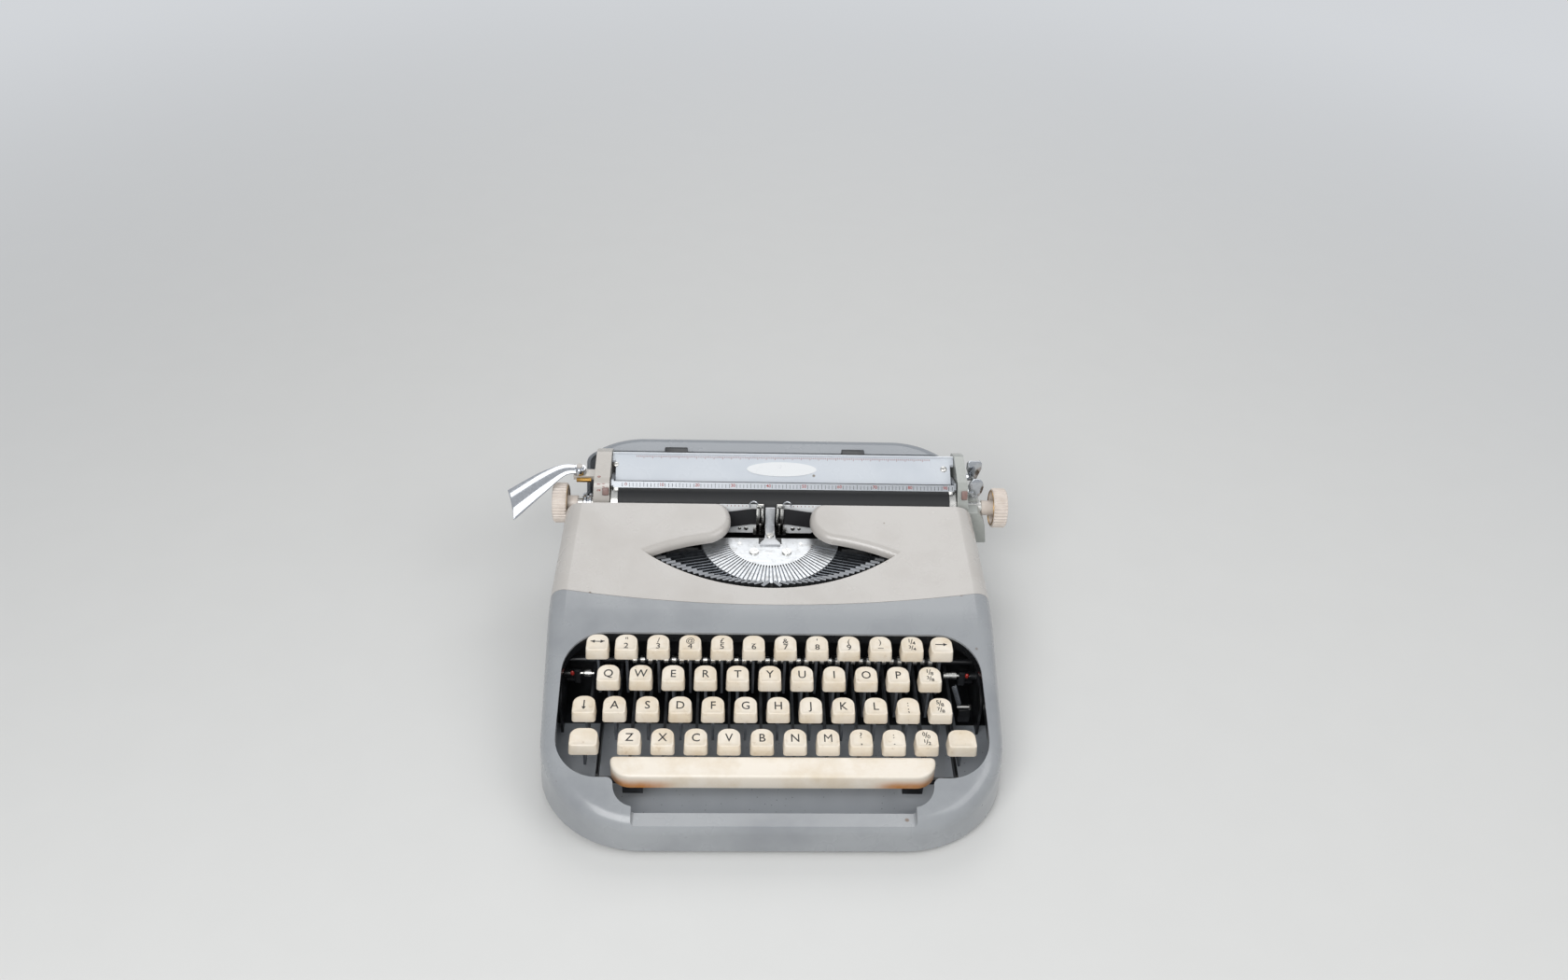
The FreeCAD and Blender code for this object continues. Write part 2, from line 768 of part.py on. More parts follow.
def keytop(x, y, top_z, width, depth):
    """Moulded keytop with a hollow face inside a thin rim."""
    body = prism(*keytop_outline(x, y, width, depth, 0), top_z - keytop_height, top_z)
    hollow = keytop_outline(x, y, width, depth, keytop_rim)
    return body.cut(prism(*hollow, top_z - keytop_dish_depth, top_z))


def lever(x, key_y, top_z, thickness=lever_thickness):
    """Flat steel lever: hooked on the fulcrum rod behind, riser under the keytop."""
    hook = fulcrum_radius + running_clearance
    rear = fulcrum_y + lever_tail
    half_rear = lever_rear_height / 2
    half_front = lever_front_height / 2
    front = key_y - riser_depth / 2
    back = key_y + riser_depth / 2
    left = x - thickness / 2
    corners = [
        (rear, fulcrum_z - hook),
        (rear, fulcrum_z - half_rear),
        (front, lever_z(front) - half_front),
        (front, top_z),
        (back, top_z),
        (back, lever_z(back) + half_front),
        (rear, fulcrum_z + half_rear),
        (rear, fulcrum_z + hook),
    ]
    points = [Vector(left, y, z) for y, z in corners]
    upper = Vector(left, fulcrum_y, fulcrum_z + hook)
    inner = Vector(left, fulcrum_y - hook, fulcrum_z)
    lower = Vector(left, fulcrum_y, fulcrum_z - hook)
    edges = [Part.makeLine(points[i], points[i + 1]) for i in range(len(points) - 1)]
    edges = edges + [
        Part.makeLine(points[-1], upper),
        Part.Arc(upper, inner, lower).toShape(),
        Part.makeLine(lower, points[0]),
    ]
    return Part.Face(Part.Wire(edges)).extrude(Vector(thickness, 0, 0))


def row_place(row):
    """Middle and top height of the keytops in one row, counted up from the home row."""
    return row_a_y + row * row_step_y, row_a_z + row * row_step_z


def single_key(x, row, width=keytop_width):
    y, top_z = row_place(row)
    under = top_z - keytop_height
    return Part.makeCompound([keytop(x, y, top_z, width, keytop_depth), lever(x, y, under)])


type_rows = [
    (2, -4.75, "2 3 4 5 6 7 8 9 dash quarters"),
    (1, -5.25, "q w e r t y u i o p eighths_low"),
    (0, -5.0, "a s d f g h j k l semicolon eighths_high"),
    (-1, -4.5, "z x c v b n m comma period percent"),
]


def type_key_places():
    """Name, x and row of each type key, row by row from the left."""
    places = []
    for row, first_pitch, names in type_rows:
        for i, name in enumerate(names.split()):
            places.append(("key_" + name, keyboard_x + (first_pitch + i) * key_pitch, row))
    return places


def shift_keys():
    """Both shift keys and the lock key, on two levers tied by one bar."""
    lower_y, lower_z = row_place(-1)
    home_y, home_z = row_place(0)
    left = left_shift_x - lever_thickness / 2
    right = left_shift_x + lever_thickness / 2
    front = home_y - riser_depth / 2
    back = home_y + riser_depth / 2
    under_lock_z = home_z - keytop_height
    lock_riser = block(left, right, front, back, lever_z(home_y), under_lock_z)
    front = shift_bar_y - shift_hanger_depth / 2
    back = shift_bar_y + shift_hanger_depth / 2
    low = shift_bar_z - shift_bar_radius - plate_thickness
    frames = []
    for x, extra in ((left_shift_x, [lock_riser]), (right_shift_x, [])):
        left = x - lever_thickness / 2
        right = x + lever_thickness / 2
        hanger = block(left, right, front, back, low, lever_z(shift_bar_y))
        arm = lever(x, lower_y, lower_z - keytop_height)
        frames.append(arm.fuse(extra + [hanger]).removeSplitter())
    bar_left = left_shift_x + lever_thickness / 2
    bar_right = right_shift_x - lever_thickness / 2
    return Part.makeCompound(frames + [
        rod_x(shift_bar_radius, bar_left, bar_right, shift_bar_y, shift_bar_z),
        keytop(left_shift_x, lower_y, lower_z, shift_key_width, keytop_depth),
        keytop(right_shift_x, lower_y, lower_z, shift_key_width, keytop_depth),
        keytop(shift_lock_x, home_y, home_z, function_key_width, keytop_depth),
    ])


def space_bar():
    """Long hollow bar on two blocks, a front rail and two outer levers."""
    half = space_bar_width / 2
    front = space_bar_y - space_bar_depth / 2
    rear = space_bar_y + space_bar_depth / 2
    low = space_bar_top_z - space_bar_height
    roof = space_bar_top_z - space_bar_roof
    radii = [
        space_bar_front_radius, space_bar_front_radius,
        space_bar_rear_radius, space_bar_rear_radius,
    ]
    pairs = [(-half, front), (half, front), (half, rear), (-half, rear)]
    wall = space_bar_wall
    inner_pairs = [(x - math.copysign(wall, x), y - math.copysign(wall, y - space_bar_y)) for x, y in pairs]
    inner_radii = [radius - wall for radius in radii]
    top = prism(pairs, radii, low, space_bar_top_z)
    upper = [edge for edge in top.Edges if edge.BoundBox.ZMin > space_bar_top_z - 1]
    top = top.makeFillet(space_bar_edge_radius, upper).cut(prism(inner_pairs, inner_radii, low, roof))
    arm_half = lever_thickness / 2
    rail_half = space_rail_width / 2
    rail_low = low - space_rail_height
    rail = block(
        space_arm_left_x + arm_half, space_arm_right_x - arm_half,
        space_bar_y - rail_half, space_bar_y + rail_half, rail_low, low,
    )
    solids = [top]
    for x in (space_arm_left_x, space_arm_right_x):
        solids.append(lever(x, space_bar_y, low))
    post_half = space_post_width / 2
    post_front = front + space_bar_wall
    post_rear = post_front + space_post_depth
    for x in (-space_post_x, space_post_x):
        left = x - post_half
        right = x + post_half
        rail = rail.fuse(block(left, right, post_front, post_rear, low - space_post_drop, low))
    return Part.makeCompound(solids + [rail.removeSplitter()])


# ================================================================ type basket
def slot_angle(share):
    """Direction of a typebar slot, in radians from straight towards the typist."""
    return math.radians(segment_fan * share)


def polar(radius, angle, z):
    return Vector(radius * math.sin(angle), segment_y - radius * math.cos(angle), z)


def bar_shares():
    return [(2 * i - (bar_count - 1)) / (bar_count - 1) for i in range(bar_count)]


def typebar_slot(angle):
    """Cutting block for one slot, open at the front and at the top."""
    half = slot_width / 2
    front = -segment_outer_radius - segment_thickness
    low = segment_top_z - slot_depth
    slot = block(-half, half, front, -segment_inner_radius, low, segment_top_z + segment_thickness)
    slot.rotate(Vector(0, 0, 0), Vector(0, 0, 1), math.degrees(angle))
    slot.translate(Vector(0, segment_y, 0))
    return slot


def typebar_segment():
    """Half ring with a slot for every typebar, on its pedestal, with its screws."""
    end = math.radians(segment_fan + segment_cheek)
    low = segment_top_z - segment_thickness
    left, middle, right = [polar(segment_outer_radius, angle, low) for angle in (-end, 0, end)]
    rear_left = Vector(left.x, segment_back_y, low)
    rear_right = Vector(right.x, segment_back_y, low)
    edges = [
        Part.Arc(left, middle, right).toShape(),
        Part.makeLine(right, rear_right),
        Part.makeLine(rear_right, rear_left),
        Part.makeLine(rear_left, left),
    ]
    ring = Part.Face(Part.Wire(edges)).extrude(Vector(0, 0, segment_thickness))
    for share in bar_shares():
        ring = ring.cut(typebar_slot(slot_angle(share)))
    half = pedestal_half_width
    pedestal = block(-half, half, pedestal_front_y, segment_back_y, tray_z, low)
    top = segment_top_z + screw_head_height
    screws = []
    for x in (-segment_screw_x, segment_screw_x):
        screws.append(rod_z(segment_screw_radius, x, segment_screw_y, segment_top_z, top))
    return Part.makeCompound([ring.fuse(pedestal)] + screws)


def typebar(share):
    """One bar at rest: out of its slot, bent towards its place on the rest arc."""
    angle = slot_angle(share)
    start = polar(segment_inner_radius + typebar_inset, angle, typebar_low_z)
    bend = polar(segment_outer_radius + typebar_inset, angle, typebar_low_z)
    x, y = rest_point(share)
    end = Vector(x, y, typebar_low_z)
    across_inner = Vector(math.cos(angle), math.sin(angle), 0) * (typebar_thickness / 2)
    outward = (end - bend).normalize()
    across_outer = Vector(-outward.y, outward.x, 0) * (typebar_thickness / 2)
    points = [
        start - across_inner, bend - across_inner, end - across_outer,
        end + across_outer, bend + across_inner, start + across_inner,
    ]
    wire = Part.makePolygon(points + [points[0]])
    bar = Part.Face(wire).extrude(Vector(0, 0, typebar_depth))
    slug = block(-slug_width / 2, slug_width / 2, -slug_length, slug_root, 0, slug_height)
    slug.rotate(Vector(0, 0, 0), Vector(0, 0, 1), math.degrees(math.atan2(outward.x, -outward.y)))
    slug.translate(end)
    return bar.fuse(slug)


def typebars():
    return Part.makeCompound([typebar(share) for share in bar_shares()])


# ================================================================ ribbon
def spool(side):
    """Ribbon spool: hub, two flanges and the wound ribbon."""
    x = side * spool_x
    top = spool_pack_z + ribbon_height
    return rod_z(spool_hub_radius, x, spool_y, tray_z, tray_z + spool_hub_height).fuse([
        rod_z(spool_radius, x, spool_y, spool_pack_z - spool_flange, spool_pack_z),
        rod_z(spool_pack_radius, x, spool_y, spool_pack_z, top),
        rod_z(spool_radius, x, spool_y, top, top + spool_flange),
    ])


def ribbon_run():
    """Flat ribbon from the type guide's right upright to the right spool."""
    lower = [
        (ribbon_near_x, ribbon_guide_z),
        (ribbon_level_x, ribbon_guide_z),
        (ribbon_lobe_x, ribbon_lobe_z),
        (spool_x - spool_hub_radius, spool_pack_z),
        (spool_x, spool_pack_z),
    ]
    pairs = lower + [(x, z + ribbon_height) for x, z in reversed(lower)]
    return front_prism(pairs, [0] * len(pairs), ribbon_y, ribbon_y + ribbon_thickness)


def guide_post():
    """Right upright of the type guide, slit for the ribbon, with its wire loop."""
    near = guide_post_near_x
    far = guide_post_far_x
    middle = (near + far) / 2
    post = block(near, far, guide_y, ribbon_y, guide_post_low_z, guide_top_z)
    half = guide_slot_width / 2
    slit = block(middle - half, middle + half, guide_y, ribbon_y, guide_slot_low_z, guide_slot_high_z)
    place = Vector(loop_x, guide_y, loop_z)
    outer = Part.makeCylinder(loop_radius + loop_wire, 2 * loop_wire, place, Vector(0, 1, 0))
    loop = outer.cut(Part.makeCylinder(loop_radius, 2 * loop_wire, place, Vector(0, 1, 0)))
    return post.cut(slit).fuse(loop)


def card_plate():
    """Right card plate, on a link that reaches it from the upright."""
    front = ribbon_y + ribbon_thickness + card_gap
    rear = front + card_thickness
    pairs = [
        (card_near_x, card_low_z),
        (card_far_x - card_corner, card_low_z),
        (card_far_x, card_low_z + card_corner),
        (card_far_x, card_top_z),
        (card_near_x, card_top_z),
    ]
    plate = front_prism(pairs, [0] * len(pairs), front, rear)
    low = guide_post_low_z
    high = ribbon_lobe_z
    return plate.fuse(block(guide_post_far_x - 1, card_near_x + 2, guide_y, rear, low, high))


def type_guide():
    """Foot on the half ring, centre plate, two uprights and two card plates."""
    tip = guide_foot_tip_width / 2
    far = guide_post_far_x
    pairs = [
        (-tip, guide_foot_front_y), (tip, guide_foot_front_y),
        (far, guide_foot_shoulder_y), (far, guide_y),
        (-far, guide_y), (-far, guide_foot_shoulder_y),
    ]
    foot_top = segment_top_z + sheet_thickness
    foot = prism(pairs, [0] * len(pairs), segment_top_z, foot_top)
    half = guide_plate_width / 2
    front = guide_y - guide_plate_thickness
    plate = block(-half, half, front, guide_y, segment_top_z, guide_plate_top_z)
    right = [guide_post(), card_plate()]
    return foot.fuse([plate] + right + [mirrored(shape) for shape in right])


def ribbon_works():
    """Spools, type guide and the two visible ribbon runs."""
    run = ribbon_run()
    return Part.makeCompound([spool(-1), spool(1), type_guide(), run, mirrored(run)])


# ================================================================ carriage
def truck():
    """Sliding bar that carries the whole carriage, grooved for the rail's tongue."""
    low = channel_floor_z + free_gap
    front = rail_bar_front_y + truck_margin
    rear = rail_bar_front_y + rail_bar_depth - truck_margin
    left = carriage_x - truck_half_length
    right = carriage_x + truck_half_length
    bar = block(left, right, front, rear, low, low + truck_height)
    middle = (front + rear) / 2
    half = rail_tongue_width / 2 + free_gap
    groove = block(left, right, middle - half, middle + half, low, low + rail_tongue_height)
    return bar.cut(groove)


def leaning_plate(inner, outer, lean):
    """One end plate without its holes; its outer face leans in towards the top."""
    low = frame_low_z
    high = paper_table_top_z + end_plate_rise
    front = platen_y - end_plate_front
    rear = margin_rail_y + margin_rail_size
    profile = [
        (front, low + end_plate_chin),
        (front, platen_z + end_plate_nose),
        (platen_y - end_plate_brow_y, platen_z + end_plate_brow_z),
        (paper_table_top_y, high),
        (rear, paper_table_top_z - end_plate_rise),
        (rear, low),
        (front + end_plate_chin, low),
    ]
    brow = end_plate_brow_radius
    radii = [3, brow, brow, brow, 4, 0, 2]
    plate = side_prism(profile, radii, min(inner, outer), max(inner, outer))
    pairs = [(inner, low), (outer, low), (outer - lean, high), (inner, high)]
    return plate.common(front_prism(pairs, [0, 0, 0, 0], front, rear))


def end_cover():
    """Casting that hangs outside the right end plate, over the side of the body."""
    outer = right_plate_outer
    inner = carriage_x + truck_half_length + free_gap
    low = channel_floor_z + 1
    pairs = [
        (inner, low),
        (outer + end_cover_low_x, low),
        (outer + end_cover_waist_x, end_cover_waist_z),
        (outer + end_cover_shoulder_x, end_cover_top_z),
        (inner, end_cover_top_z),
    ]
    casting = front_prism(pairs, [0, 1, 3, 3, 0], end_cover_front_y, end_cover_rear_y)
    hub_end = carriage_x + knob_right_x - knob_width - knob_hub_reach
    recess_radius = knob_hub_radius + free_gap
    recess = rod_x(recess_radius, hub_end - free_gap, outer + end_cover_low_x, platen_y, platen_z)
    return casting.cut(recess)


def end_plates():
    """Caps at both ends of the carriage, bored for the shaft and the lever pins."""
    left = leaning_plate(left_plate_inner, left_plate_outer, -end_plate_lean)
    right = leaning_plate(right_plate_inner, right_plate_outer, end_plate_lean)
    right = right.fuse(end_cover())
    far = right_plate_outer + end_cover_low_x
    shaft_bore = platen_shaft_radius + running_clearance
    bail_bore = bail_pin_radius + running_clearance
    pin_bore = release_pin_radius + running_clearance
    pin_end = right_plate_outer - release_pin_length
    bores = [
        rod_x(shaft_bore, left_plate_outer, far, platen_y, platen_z),
        rod_x(bail_bore, left_plate_outer, far, bail_pivot_y, bail_pivot_z),
        rod_x(pin_bore, pin_end, far, paper_release_y, paper_release_z),
        rod_x(pin_bore, pin_end, far, carriage_release_y, carriage_release_z),
    ]
    return [plate.cut(Part.makeCompound(bores)) for plate in (left, right)]


def paper_table():
    """Sheet that leans back behind the platen, with a turned-up rear lip."""
    left = left_plate_inner + seam_gap
    right = right_plate_inner - seam_gap
    slope = Vector(0, paper_table_top_y - paper_table_front_y, paper_table_top_z - paper_table_front_z)
    down = Vector(0, slope.z, -slope.y).normalize() * sheet_thickness
    front = Vector(left, paper_table_front_y, paper_table_front_z)
    top = front + slope
    rear = top + Vector(0, sheet_thickness, 0)
    rise = Vector(0, 0, paper_table_lip)
    points = [front, top, top + rise, rear + rise, rear + down, front + down]
    wire = Part.makePolygon(points + [points[0]])
    sheet = Part.Face(wire).extrude(Vector(right - left, 0, 0))
    notch_rear = bail_pivot_y + bail_notch_rear
    reach = bail_arm_x - free_gap
    low = platen_z
    high = paper_table_top_z + profile_overhang
    notches = [
        block(left, carriage_x - reach, platen_y, notch_rear, low, high),
        block(carriage_x + reach, right, platen_y, notch_rear, low, high),
    ]
    return sheet.cut(Part.makeCompound(notches))


def paper_pan():
    """Curved sheet that leads the paper round the underside of the platen."""
    inner = platen_radius + pan_gap
    outer = inner + sheet_thickness
    left = left_plate_inner
    right = right_plate_inner
    ring = rod_x(outer, left, right, platen_y, platen_z)
    ring = ring.cut(rod_x(inner, left, right, platen_y, platen_z))
    front = platen_y - pan_front
    low = platen_z - outer
    return ring.common(block(left, right, front, platen_y + outer, low, platen_z + pan_rise))


def margin_stop(x):
    """Stop that sits astride the margin rail."""
    left = carriage_x + x
    right = left + margin_stop_width
    front = margin_rail_y - margin_stop_wall
    rear = margin_rail_y + margin_rail_size + margin_stop_wall
    return block(left, right, front, rear, margin_rail_z, margin_stop_top_z).cut(margin_rail())


def margin_rail():
    rear = margin_rail_y + margin_rail_size
    top = margin_rail_z + margin_rail_size
    return block(left_plate_inner, right_plate_inner, margin_rail_y, rear, margin_rail_z, top)


def lever_bracket():
    """Bracket on the left end plate that carries the return lever's stud."""
    x = left_plate_outer - lever_pivot_reach
    top = lever_plate_z - free_gap
    half = bracket_width / 2
    front = lever_pivot_y - half
    arm = block(x - half, left_plate_inner, front, lever_pivot_y + half, top - bracket_thickness, top)
    stud = rod_z(lever_stud_radius, x, lever_pivot_y, top, top + stud_height)
    return arm.fuse(stud)


def carriage_frame():
    """End plates with the return lever's bracket, beam, paper pan and margin stops."""
    left, right = end_plates()
    front = rail_bar_front_y + truck_margin
    rear = rail_bar_front_y + rail_bar_depth - truck_margin
    low = frame_low_z
    beam = block(left_plate_inner, right_plate_inner, front, rear, low, low + beam_height)
    stops = [margin_stop(margin_stop_left_x), margin_stop(margin_stop_right_x)]
    return Part.makeCompound([left.fuse(lever_bracket()), right, paper_pan(), beam, margin_rail()] + stops)


def knob():
    """Ribbed knob: a cup with its mouth at x = 0 and a long hub on the shaft."""
    points = []
    for i in range(2 * knob_ribs):
        radius = knob_radius - knob_rib_depth * (i % 2)
        angle = math.pi * i / knob_ribs
        y = platen_y + radius * math.cos(angle)
        points.append(Vector(0, y, platen_z + radius * math.sin(angle)))
    rim = Part.Face(Part.makePolygon(points + [points[0]])).extrude(Vector(knob_width, 0, 0))
    floor = knob_width - knob_wall
    bowl = rod_x(knob_radius - knob_wall, 0, floor, platen_y, platen_z)
    hub = rod_x(knob_hub_radius, -knob_hub_reach, knob_width, platen_y, platen_z)
    bore = rod_x(platen_shaft_radius, -knob_hub_reach, floor, platen_y, platen_z)
    return rim.cut(bowl).fuse(hub).cut(bore)


def platen():
    """Rubber roller with metal end rings, its shaft and the two knobs."""
    left = carriage_x - platen_half_length
    right = carriage_x + platen_half_length
    left_mouth = carriage_x - knob_left_x + knob_width
    right_mouth = carriage_x + knob_right_x - knob_width
    floor = knob_width - knob_wall
    shaft = rod_x(platen_shaft_radius, left_mouth - floor, right_mouth + floor, platen_y, platen_z)
    left_knob = mirrored(knob())
    left_knob.translate(Vector(left_mouth, 0, 0))
    right_knob = knob()
    right_knob.translate(Vector(right_mouth, 0, 0))
    roller = rod_x(platen_radius, left, right, platen_y, platen_z).cut(shaft)
    rings = []
    for start in (left - platen_ring_width, right):
        ring = rod_x(platen_radius - platen_ring_step, start, start + platen_ring_width, platen_y, platen_z)
        rings.append(ring.cut(shaft))
    return Part.makeCompound([roller, shaft, left_knob, right_knob] + rings)


def handle_section(middle, width):
    """Thin arched section of the return lever's handle."""
    across = Vector(*lever_across).normalize() * (width / 2)
    along = Vector(*lever_tip) - Vector(*lever_middle)
    normal = along.cross(across).normalize()
    if normal.z < 0:
        normal = -normal
    skin = normal * lever_plate_thickness
    crown = normal * (lever_crown * width / lever_tip_width)
    low = [middle - across, middle + crown, middle + across]
    high = [point + skin for point in reversed(low)]
    return Part.Wire([
        Part.Arc(*low).toShape(),
        Part.makeLine(low[2], high[0]),
        Part.Arc(*high).toShape(),
        Part.makeLine(high[2], low[0]),
    ])


def return_lever():
    """Chrome lever: boss on its stud, narrow root and a wide crowned handle."""
    stud = Vector(left_plate_outer - lever_pivot_reach, lever_pivot_y, lever_plate_z)
    boss = rod_z(lever_boss_radius, stud.x, stud.y, stud.z, stud.z + lever_boss_height)
    bore = lever_stud_radius + running_clearance
    hole = rod_z(bore, stud.x, stud.y, stud.z, stud.z + stud_height)
    start = Vector(0, 0, lever_boss_height / 2)
    middles = [start, Vector(*lever_root), Vector(*lever_middle), Vector(*lever_tip)]
    widths = [lever_root_width, lever_root_width, lever_middle_width, lever_tip_width]
    sections = [handle_section(stud + middle, width) for middle, width in zip(middles, widths)]
    handle = Part.makeLoft(sections, True, True)
    return handle.fuse(boss).cut(hole)


def paper_bail():
    """Scale strip in front of the platen's top, on two swinging arms."""
    left = carriage_x - bail_arm_x
    right = carriage_x + bail_arm_x
    tilt = math.radians(bail_tilt)
    along = Vector(0, math.cos(tilt), math.sin(tilt)) * (bail_strip_height / 2)
    normal = Vector(0, -math.sin(tilt), math.cos(tilt)) * bail_strip_thickness
    middle = Vector(left, bail_strip_y, bail_strip_z)
    points = [middle - along, middle + along, middle + along + normal, middle - along + normal]
    wire = Part.makePolygon(points + [points[0]])
    solids = [Part.Face(wire).extrude(Vector(right - left, 0, 0))]
    pairs = [
        (bail_strip_y - bail_arm_front, bail_strip_z - bail_arm_half / 2),
        (bail_pivot_y - bail_knee_y, bail_pivot_z + bail_knee_z),
        (bail_pivot_y, bail_pivot_z - bail_arm_half),
        (bail_pivot_y + bail_arm_half, bail_pivot_z),
        (bail_pivot_y, bail_pivot_z + bail_arm_half),
        (bail_strip_y + bail_arm_front, bail_strip_z + bail_arm_half),
    ]
    radii = [1, 2, 2, 2, 2, 1]
    solids.append(side_prism(pairs, radii, left - bail_arm_thickness, left))
    solids.append(side_prism(pairs, radii, right, right + bail_arm_thickness))
    left_end = left_plate_inner - bail_pin_reach
    right_end = right_plate_inner + bail_pin_reach
    solids.append(rod_x(bail_pin_radius, left_end, left, bail_pivot_y, bail_pivot_z))
    solids.append(rod_x(bail_pin_radius, right, right_end, bail_pivot_y, bail_pivot_z))
    return solids[0].fuse(solids[1:]).removeSplitter()


def release_lever(y, z, reach):
    """Small lever with a turned paddle, on a pin in the right end of the carriage."""
    left = right_plate_outer + release_gap
    right = left + release_stem_width
    half = release_pin_radius + release_gap
    stem = block(left, right, -half, half, -half, reach)
    half_height = release_paddle_height / 2
    pairs = [
        (left, reach - half_height),
        (left + release_paddle_width, reach - half_height),
        (left + release_paddle_width, reach + half_height),
        (left, reach + half_height),
    ]
    half = release_paddle_thickness / 2
    paddle = front_prism(pairs, [release_corner] * len(pairs), -half, half)
    pin = rod_x(release_pin_radius, right_plate_outer - release_pin_length, right, 0, 0)
    lever_shape = stem.fuse([paddle, pin])
    lever_shape.rotate(Vector(0, 0, 0), Vector(1, 0, 0), release_lean)
    lever_shape.translate(Vector(0, y, z))
    return lever_shape


os.makedirs("parts", exist_ok=True)
type_keys = type_key_places()
lever_places = [x for name, x, row in type_keys]
lever_places = lever_places + [
    margin_release_x, backspace_x, left_shift_x, right_shift_x, space_arm_left_x, space_arm_right_x,
]

nodes = {
    "lower_housing": lower_housing(),
    "top_cover": top_cover(),
    "chassis": chassis(lever_places),
    "typebar_segment": typebar_segment(),
    "typebars": typebars(),
    "ribbon_works": ribbon_works(),
    "carriage_truck": truck(),
    "carriage_frame": carriage_frame(),
    "paper_table": paper_table(),
    "platen": platen(),
    "paper_bail": paper_bail(),
    "return_lever": return_lever(),
    "paper_release_lever": release_lever(paper_release_y, paper_release_z, paper_release_reach),
    "carriage_release_lever": release_lever(
        carriage_release_y, carriage_release_z, carriage_release_reach),
    "shift_keys": shift_keys(),
    "space_bar": space_bar(),
    "margin_release_key": single_key(margin_release_x, 2),
    "backspace_key": single_key(backspace_x, 2),
}
for name, x, row in type_keys:
    nodes[name] = single_key(x, row)

for name, shape in nodes.items():
    shape.translate(Vector(-frame_x, 0, 0))
    shape.exportStep("parts/" + name + ".step")
print(len(nodes), "nodes written")
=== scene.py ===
import bpy
import bmesh
import json
import math
from mathutils import Matrix, Vector
from mathutils.bvhtree import BVHTree


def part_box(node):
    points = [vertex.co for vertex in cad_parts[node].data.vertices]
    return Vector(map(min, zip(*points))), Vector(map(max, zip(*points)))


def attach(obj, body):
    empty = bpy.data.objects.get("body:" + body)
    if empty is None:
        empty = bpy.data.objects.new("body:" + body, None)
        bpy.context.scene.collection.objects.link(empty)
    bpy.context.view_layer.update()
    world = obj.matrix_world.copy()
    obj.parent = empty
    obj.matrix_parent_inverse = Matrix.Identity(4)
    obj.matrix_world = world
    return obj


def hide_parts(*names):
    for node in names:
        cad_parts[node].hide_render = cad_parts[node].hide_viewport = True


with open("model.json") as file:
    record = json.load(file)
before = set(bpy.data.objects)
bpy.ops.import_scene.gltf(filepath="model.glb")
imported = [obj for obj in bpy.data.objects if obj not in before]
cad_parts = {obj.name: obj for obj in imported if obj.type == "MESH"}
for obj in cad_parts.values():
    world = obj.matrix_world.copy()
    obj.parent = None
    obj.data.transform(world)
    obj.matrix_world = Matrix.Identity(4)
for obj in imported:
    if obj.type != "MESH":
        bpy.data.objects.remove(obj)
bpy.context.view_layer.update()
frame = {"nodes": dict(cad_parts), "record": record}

# ---- Base, side plates and rods
# Folded and punched sheet steel, japanned black, spot-welded and screwed together.
# The floor pan in front of the keys is sprayed grey over it, with dark specks of grit.
mm = 0.001
record = frame["record"]
joints = {joint["name"]: joint for joint in record["behaviour"]["joints"]}
housing_low, housing_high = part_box("lower_housing")
body_x = (housing_low[0] + housing_high[0]) / 2 / mm
pan_rear_y = -0.058  # this and the next, in metres as the shader counts
pan_top_z = 0.0056
pan_grey = "#a9aeb4"
pan_fleck = "#5d6166"
japan_black = "#17181a"
japan_worn = "#34363a"


def linear(code):
    """The linear colour of an sRGB hex code."""
    parts = [int(code[i:i + 2], 16) / 255 for i in (1, 3, 5)]
    parts = [c / 12.92 if c <= 0.04045 else ((c + 0.055) / 1.055) ** 2.4 for c in parts]
    return (*parts, 1.0)


def fill(made, inputs):
    """Fills a node's inputs. Each is a value, a hex colour, another node or one of its outputs.
    From and To each stand for two inputs, a Min and a Max."""
    for name in ("From", "To"):
        if name in inputs:
            inputs[name + " Min"], inputs[name + " Max"] = inputs.pop(name)
    for name, value in inputs.items():
        if isinstance(value, bpy.types.Node):
            value = value.outputs[2 if value.bl_idname == "ShaderNodeMix" else 0]
        if isinstance(value, bpy.types.NodeSocket):
            made.id_data.links.new(value, made.inputs[name])
        else:
            made.inputs[name].default_value = linear(value) if isinstance(value, str) else value


def node(tree, kind, inputs, **settings):
    """Adds a shader node with its settings and links. A Mix node mixes colours."""
    made = tree.nodes.new("ShaderNode" + kind)
    if kind == "Mix":
        made.data_type = "RGBA"
    for name, value in settings.items():
        setattr(made, name, value)
    fill(made, inputs)
    return made


def new_material(name, **values):
    """A new material, its node tree and the piece's own coordinates."""
    material = bpy.data.materials.new(name)
    material.use_nodes = True
    tree = material.node_tree
    fill(tree.nodes["Principled BSDF"], {key.replace("_", " "): value for key, value in values.items()})
    return material, tree, node(tree, "TexCoord", {}).outputs["Object"]


def dress(tree, colour, gloss=None, relief=None):
    """Sets a material's look: colour is (mask, first, second), gloss (pattern, least and most
    roughness) and relief (pattern, strength, depth in metres)."""
    look = {"Base Color": node(tree, "Mix", dict(zip((0, 6, 7), colour)))}
    if gloss:
        look["Roughness"] = node(tree, "MapRange", {"Value": gloss[0], "To": gloss[1:]})
    if relief:
        look["Normal"] = node(tree, "Bump", dict(zip(("Height", "Strength", "Distance"), relief)))
    fill(tree.nodes["Principled BSDF"], look)


def from_middle(tree, axes):
    """How far a point lies from the plane through the middle of the machine."""
    off = node(tree, "Math", {0: axes.outputs["X"], 1: body_x * mm}, operation="SUBTRACT")
    return node(tree, "Math", {0: off}, operation="ABSOLUTE")


def finish_node(name, material):
    """A CAD node keeps its shape and takes this finish."""
    for material_slot in frame["nodes"][name].material_slots:
        material_slot.material = material


